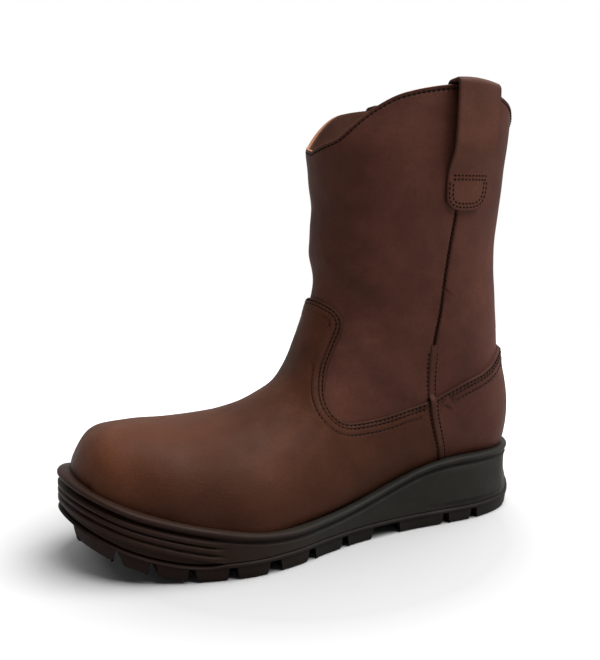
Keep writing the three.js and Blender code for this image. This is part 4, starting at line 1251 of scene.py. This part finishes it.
def footbed_piece():
    xs = np.r_[7.5, 8.2, 9.5, 11.5, 14, 17.5, np.arange(22, 272, 6), 274, 278, 281, 283.4, 285.0, 285.8]
    tri = tree_of(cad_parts["footbed_cover"])
    lo, hi = [], []
    ys = []
    from_above = []
    co = np.array([tuple(p.co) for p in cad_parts["footbed_cover"].data.vertices]) * 1000 + SHIFT
    x_lo, x_hi = co[:, 0].min() + 0.15, co[:, 0].max() - 0.15
    xs = np.unique(np.clip(x_lo + (xs - xs[0]) * (x_hi - x_lo) / (xs[-1] - xs[0]), x_lo, x_hi))
    rows = []
    for x in xs:
        hits = []
        for y in np.arange(-60, 60, 0.5):
            h = tri.ray_cast(Vector((x, y, 120)), Vector((0, 0, -1)))
            if h[0] is not None:
                hits.append((y, h[0][2]))
        if len(hits) < 2:
            continue
        hits = np.array(hits)
        y0, y1 = hits[0, 0], hits[-1, 0]
        w = np.cos(np.linspace(math.pi, 0, 33))
        yy = (y0 + y1) / 2 + (y1 - y0) / 2 * w
        zz = np.interp(yy, hits[:, 0], hits[:, 1])
        rows.append((x, yy, zz))
    # smooth the heights lengthwise
    Z = np.array([r[2] for r in rows])
    for _ in range(4):
        Z[1:-1] = (Z[:-2] + 2 * Z[1:-1] + Z[2:]) / 4
    vr = []
    for (x, yy, _), zz in zip(rows, Z):
        edge = np.minimum(yy - yy[0], yy[-1] - yy)
        rnd = 0.9 * (1 - np.clip(edge / 2.2, 0, 1)) ** 2
        top = np.column_stack([np.full(33, x), yy, zz + 0.15 - rnd])
        thick = np.clip(8.3 - 0 * yy, 0, None)
        bz = np.maximum(floor_z(np.clip(x, 0, 320)) + 0.35, 0)
        bot = np.column_stack([np.full(33, x), yy, np.minimum(np.full(33, float(bz)), zz - 2.5)])[::-1]
        vr.append(np.vstack([top, bot[1:-1]]))
    nc = len(vr[0])
    v = np.vstack(vr)
    fcs = rings_faces(len(vr), nc) + [tuple(range(nc))[::-1], tuple((len(vr) - 1) * nc + k for k in range(nc))]
    ob = make("footbed_moulded", v, fcs, COVER, body="footbed", replaces=["footbed", "footbed_cover"], sharp=60)
    fix_normals(ob)
    return ob


footbed = footbed_piece()


# ------------------------------------------------------------------ pull straps
INSET = np.array([0, 0.1, 0.3, 0.62, 1.05, 1.45, 1.8, 2.15, 2.9, 3.7, 4.15, 4.6, 6, 8.5, 12])


def strap_edges(z):
    """Back and front x of the strap at a height, from its rounded foot up to its parallel sides."""
    zs = [205.6, 205.9, 206.6, 208.0, 210, 212.5, 216, 220, 228.4, 300]
    b = [61.8, 57.5, 53.6, 50.2, 47.6, 46.0, 44.9, 44.5, 44.3, 44.3]
    f = [63.4, 66.8, 70.2, 73.2, 75.2, 76.1, 76.5, 76.6, 76.5, 76.5]
    return np.interp(z, zs, b), np.interp(z, zs, f) - STRAP_LEAN * max(z - STRAP_FOOT, 0)


def across(b, f):
    """Places across the strap, closer together at its edges, and their distance from the nearer edge."""
    half = (f - b) / 2
    e = INSET * min(1.0, half / 13.0)
    x = np.r_[b + e, (b + f) / 2, f - e[::-1]]
    return x, np.minimum(x - b, f - x)


def strap_station(side, depth=None, z=None, d=0.0, h=0.0, lean_out=False):
    zt = z if z is not None else float(zc(np.array([60.0]))[0]) - depth
    b, f = strap_edges(zt)
    x, e = across(b, f)
    if z is None:
        zz = zt + (zc(x) - float(zc(np.array([60.0]))[0])) * smooth(zt, 230, 262)
    else:
        zz = np.full(len(x), zt)
    t, a = inverse(np.column_stack([x, zz]))
    p = form(t, a * side)
    n = outward(t, a * side).copy()
    n[:, 2] = 0
    n = unit(n)
    return p, n, e, x, zz


def strap_side(side, word):
    rings, stations = [], []

    def ring(p, n, e, d0, d1, h0, h1, foot=0.0):
        """Closed cross-section with rounded edges between an inner face and an outer face."""
        mid = p + n * ((d0 + d1) / 2) + np.array([0, 0, (h0 + h1) / 2])
        half = (n * (d1 - d0) + np.array([0, 0, h1 - h0])) / 2
        k = np.sqrt(np.clip(1 - (1 - np.clip(e / 1.05, 0, 1)) ** 2, 0.0, 1))
        k = np.maximum(k, 0.06)
        groove = 1 - 0.10 * (np.exp(-(((e - 1.8) / 0.5) ** 2)) + np.exp(-(((e - 4.15) / 0.5) ** 2))) * foot
        outer = mid + half * (k * groove)[:, None]
        inner = mid - half * k[:, None]
        return np.vstack([outer, inner[::-1]])

    low = []
    for z in (205.62, 205.75, 206.0, 206.5, 207.3, 208.4, 210, 212, 214.5, 217.5, 221, 224.5, 227.2):
        p, n, e, x, zz = strap_station(side, z=z)
        e2 = np.minimum(e, max(z - 205.6, 0.02) * 1.6)
        low.append(ring(p, n, e2, 0.15, 2.35, 0, 0, 1.0))
    for dep, d in ((52.6, .5), (50.8, .85), (49, 1.6), (47, 2.65), (45, 3.75), (43, 4.75), (41, 5.6), (38.5, 6.3), (35.5, 6.68), (32, STAND), (28, STAND), (24, STAND), (20, STAND), (16, STAND), (12, STAND), (8, STAND), (4.5, STAND), (2.0, STAND)):
        p, n, e, x, zz = strap_station(side, depth=dep)
        sag = 0.35 * math.sin(math.pi * min(max((40 - dep) / 40, 0), 1))
        low.append(ring(p, n, e, d - 0.0 * sag, d + THICK, 0, 0, 1.0 if dep > 50 else 0.35))
    p0, n0, e0, x0, z0 = strap_station(side, depth=0.0)
    out_c, in_c, r = STAND - RADIUS, -3.9, RADIUS
    for f in np.linspace(0.12, 1, 8) * math.pi / 2:
        low.append(ring(p0, n0, e0, out_c + r * math.cos(f), out_c + (r + THICK) * math.cos(f), -1 + r * math.sin(f), -1 + (r + THICK) * math.sin(f), 0.35))
    top = [low[-1]]
    for f in (0.25, 0.5, 0.75, 1.0):
        d = out_c + (in_c - out_c) * f
        top.append(ring(p0, n0, e0, d, d, -1 + r, -1 + r + THICK, 0.35))
    for f in np.linspace(0.14, 1, 7) * math.pi / 2 + math.pi / 2:
        top.append(ring(p0, n0, e0, in_c + r * math.cos(f), in_c + (r + THICK) * math.cos(f), -1 + r * math.sin(f), -1 + (r + THICK) * math.sin(f), 0.35))
    for dep in (3, 8, 14, 20, 26, 32, 38, 44, 48, 49.4, 49.9):
        p, n, e, x, zz = strap_station(side, depth=float(dep))
        e2 = np.minimum(e, max(49.95 - dep, 0.03) * 1.3)
        top.append(ring(p, n, e2, in_c - r, in_c - r - THICK, 0, 0, 0.0))
    mid_pt = lambda q: tuple(((q.mean(0)) - SHIFT) / 1000)

    def shell(name, rs, replaces):
        nc = len(rs[0])
        v = np.vstack(rs)
        v = v + (0.12 * wob(v, 30, 61))[:, None] * np.array([0, side, 0]) * (v[:, 2] > 232)[:, None]
        f = rings_faces(len(rs), nc) + [tuple(range(nc))[::-1], tuple((len(rs) - 1) * nc + k for k in range(nc))]
        half = nc // 2
        e = np.tile(np.r_[e0, e0[::-1]], len(rs))
        ob = make(name, v, f, LEATHER_STRAP, body=None, replaces=replaces, attrs={"edge": e}, sharp=55)
        return fix_normals(ob)

    a = shell(f"pull_strap_{word}_outer_leather", low, [f"pull_strap_{word}_tab", f"pull_strap_{word}_loop"])
    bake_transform(a)
    b = shell(f"pull_strap_{word}_inner_leather", top, [f"pull_strap_{word}_inner_end"])
    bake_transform(b)

    # stitching of the sewn tab
    th = Threads()

    def on_tab(xz):
        t, aa = inverse(xz)
        n = outward(t, aa * side).copy()
        n[:, 2] = 0
        n = unit(n)
        return form(t, aa * side) + n * 2.25, n

    zs = np.r_[np.linspace(224.0, 212, 14), np.linspace(211, 205.8, 16)]
    be = [strap_edges(z) for z in zs]
    u = np.vstack([[(q[0], z) for q, z in zip(be, zs)], [(q[1], z) for q, z in zip(be[::-1], zs[::-1])]])
    tang = unit(np.gradient(u, axis=0))
    for _ in range(3):
        tang[1:-1] = unit(tang[:-2] + 2 * tang[1:-1] + tang[2:])
    inward = np.column_stack([-tang[:, 1], tang[:, 0]])
    if (inward[len(u) // 2] * [0, 1]).sum() < 0:
        inward = -inward
    for s_, slant in ((1.8, 0.35), (4.15, -0.35)):
        q = u + inward * s_
        q = dense(q, 0.8, curved=False)
        pts, nrm = on_tab(q)
        th.row(pts, nrm, pitch=2.8, length=2.05, slant=slant)
    for z in (224.6, 227.0):
        b_, f_ = strap_edges(z)
        q = dense(np.array([[b_ + 1.6, z], [f_ - 1.6, z]]), 0.8, curved=False)
        pts, nrm = on_tab(q)
        th.row(pts, nrm, pitch=2.8, length=2.05)
    th.build(f"stitching_pull_strap_{word}", THREAD)
    # inner end: a row along its foot
    th = Threads()
    for z_dep in (47.6, 45.4):
        p, n, e, x, zz = strap_station(side, depth=z_dep)
        keep = (e > 1.5)
        th.row((p + n * (in_c - r - THICK - 0.02))[keep], -n[keep], pitch=2.9)
    th.build(f"stitching_pull_strap_{word}_inner", THREAD)


strap_side(1, "left")
strap_side(-1, "right")


# ------------------------------------------------------------------ camera, light and floor
yaw, pitch, roll = math.radians(21.64), math.radians(6.982), math.radians(-1.495)
fwd = np.array([-math.sin(yaw) * math.cos(pitch), -math.cos(yaw) * math.cos(pitch), -math.sin(pitch)])
right = unit(np.cross(fwd, [0, 0, 1.0]))
up = np.cross(right, fwd)
r2 = math.cos(roll) * right + math.sin(roll) * up
u2 = -math.sin(roll) * right + math.cos(roll) * up
CAM = (np.array([344.605, 478.094, 194.742]) - SHIFT) / 1000
cd = bpy.data.cameras.new("view_camera")
cd.lens, cd.sensor_width, cd.sensor_fit = 36 * 795.125 / 660, 36.0, "AUTO"
cd.clip_start, cd.clip_end = 0.01, 50
cam = bpy.data.objects.new("view_camera", cd)
scene.collection.objects.link(cam)
cam.matrix_world = Matrix([[r2[0], u2[0], -fwd[0], CAM[0]], [r2[1], u2[1], -fwd[1], CAM[1]], [r2[2], u2[2], -fwd[2], CAM[2]], [0, 0, 0, 1]])
scene.camera = cam


def area_light(name, pos, aim, size, watts, color=(1, 1, 1)):
    d = bpy.data.lights.new(name, "AREA")
    d.shape, d.size, d.size_y, d.energy, d.color = "RECTANGLE", size[0], size[1], watts, color
    o = bpy.data.objects.new(name, d)
    scene.collection.objects.link(o)
    o.location = pos
    o.rotation_euler = (Vector(aim) - Vector(pos)).to_track_quat("-Z", "Y").to_euler()
    return o


WORLD = 0.05
area_light("key_above", (-0.5, 0.35, 1.5), (0, 0, 0.1), (1.6, 1.5), 80)
area_light("fill_heel_side", (-1.3, 0.7, 0.7), (0, 0, 0.12), (0.8, 0.8), 5.0)
area_light("fill_camera", (0.5, 1.5, 0.6), (0, 0, 0.1), (1.2, 1.0), 0.5)

# white behind the boot, softer light from everywhere else
world = bpy.data.worlds.new("studio")
scene.world = world
world.use_nodes = True
wn = world.node_tree
bg = wn.nodes["Background"]
bg.inputs[0].default_value = (1, 1, 1, 1)
tc = wn.nodes.new("ShaderNodeTexCoord")
sep = wn.nodes.new("ShaderNodeSeparateXYZ")
mr = wn.nodes.new("ShaderNodeMapRange")
wn.links.new(tc.outputs["Generated"], sep.inputs[0])
wn.links.new(sep.outputs["Y"], mr.inputs["Value"])
mr.interpolation_type = "SMOOTHSTEP"
for k, val in (("From Min", -0.72), ("From Max", 0.1), ("To Min", 1.0), ("To Max", WORLD)):
    mr.inputs[k].default_value = val
wn.links.new(mr.outputs[0], bg.inputs[1])
scene.view_settings.view_transform = "Standard"

fm = Mat("floor_pale")
fm.done((0.36, 0.36, 0.36), 0.95, spec=0.05)
# painted light: the floor glows more with distance from the boot, whitening it and hiding the boot's shadow on it
glow_distance = fm.n("ShaderNodeVectorMath", operation="LENGTH")
fm.link(fm.co, glow_distance.inputs[0])
fm.link(fm.scalar(glow_distance.outputs["Value"], 0.13, 0.36, 0.0, 0.85), fm.b.inputs["Emission Strength"])
fm.b.inputs["Emission Color"].default_value = (1, 1, 1, 1)
fr = [(1.1 * math.cos(k * math.pi / 48), 1.1 * math.sin(k * math.pi / 48)) for k in range(96)]
me = bpy.data.meshes.new("floor")
me.from_pydata([(x, y, 0) for x, y in fr], [], [tuple(range(96))])
me.materials.append(fm.m)
floor = bpy.data.objects.new("floor", me)
scene.collection.objects.link(floor)
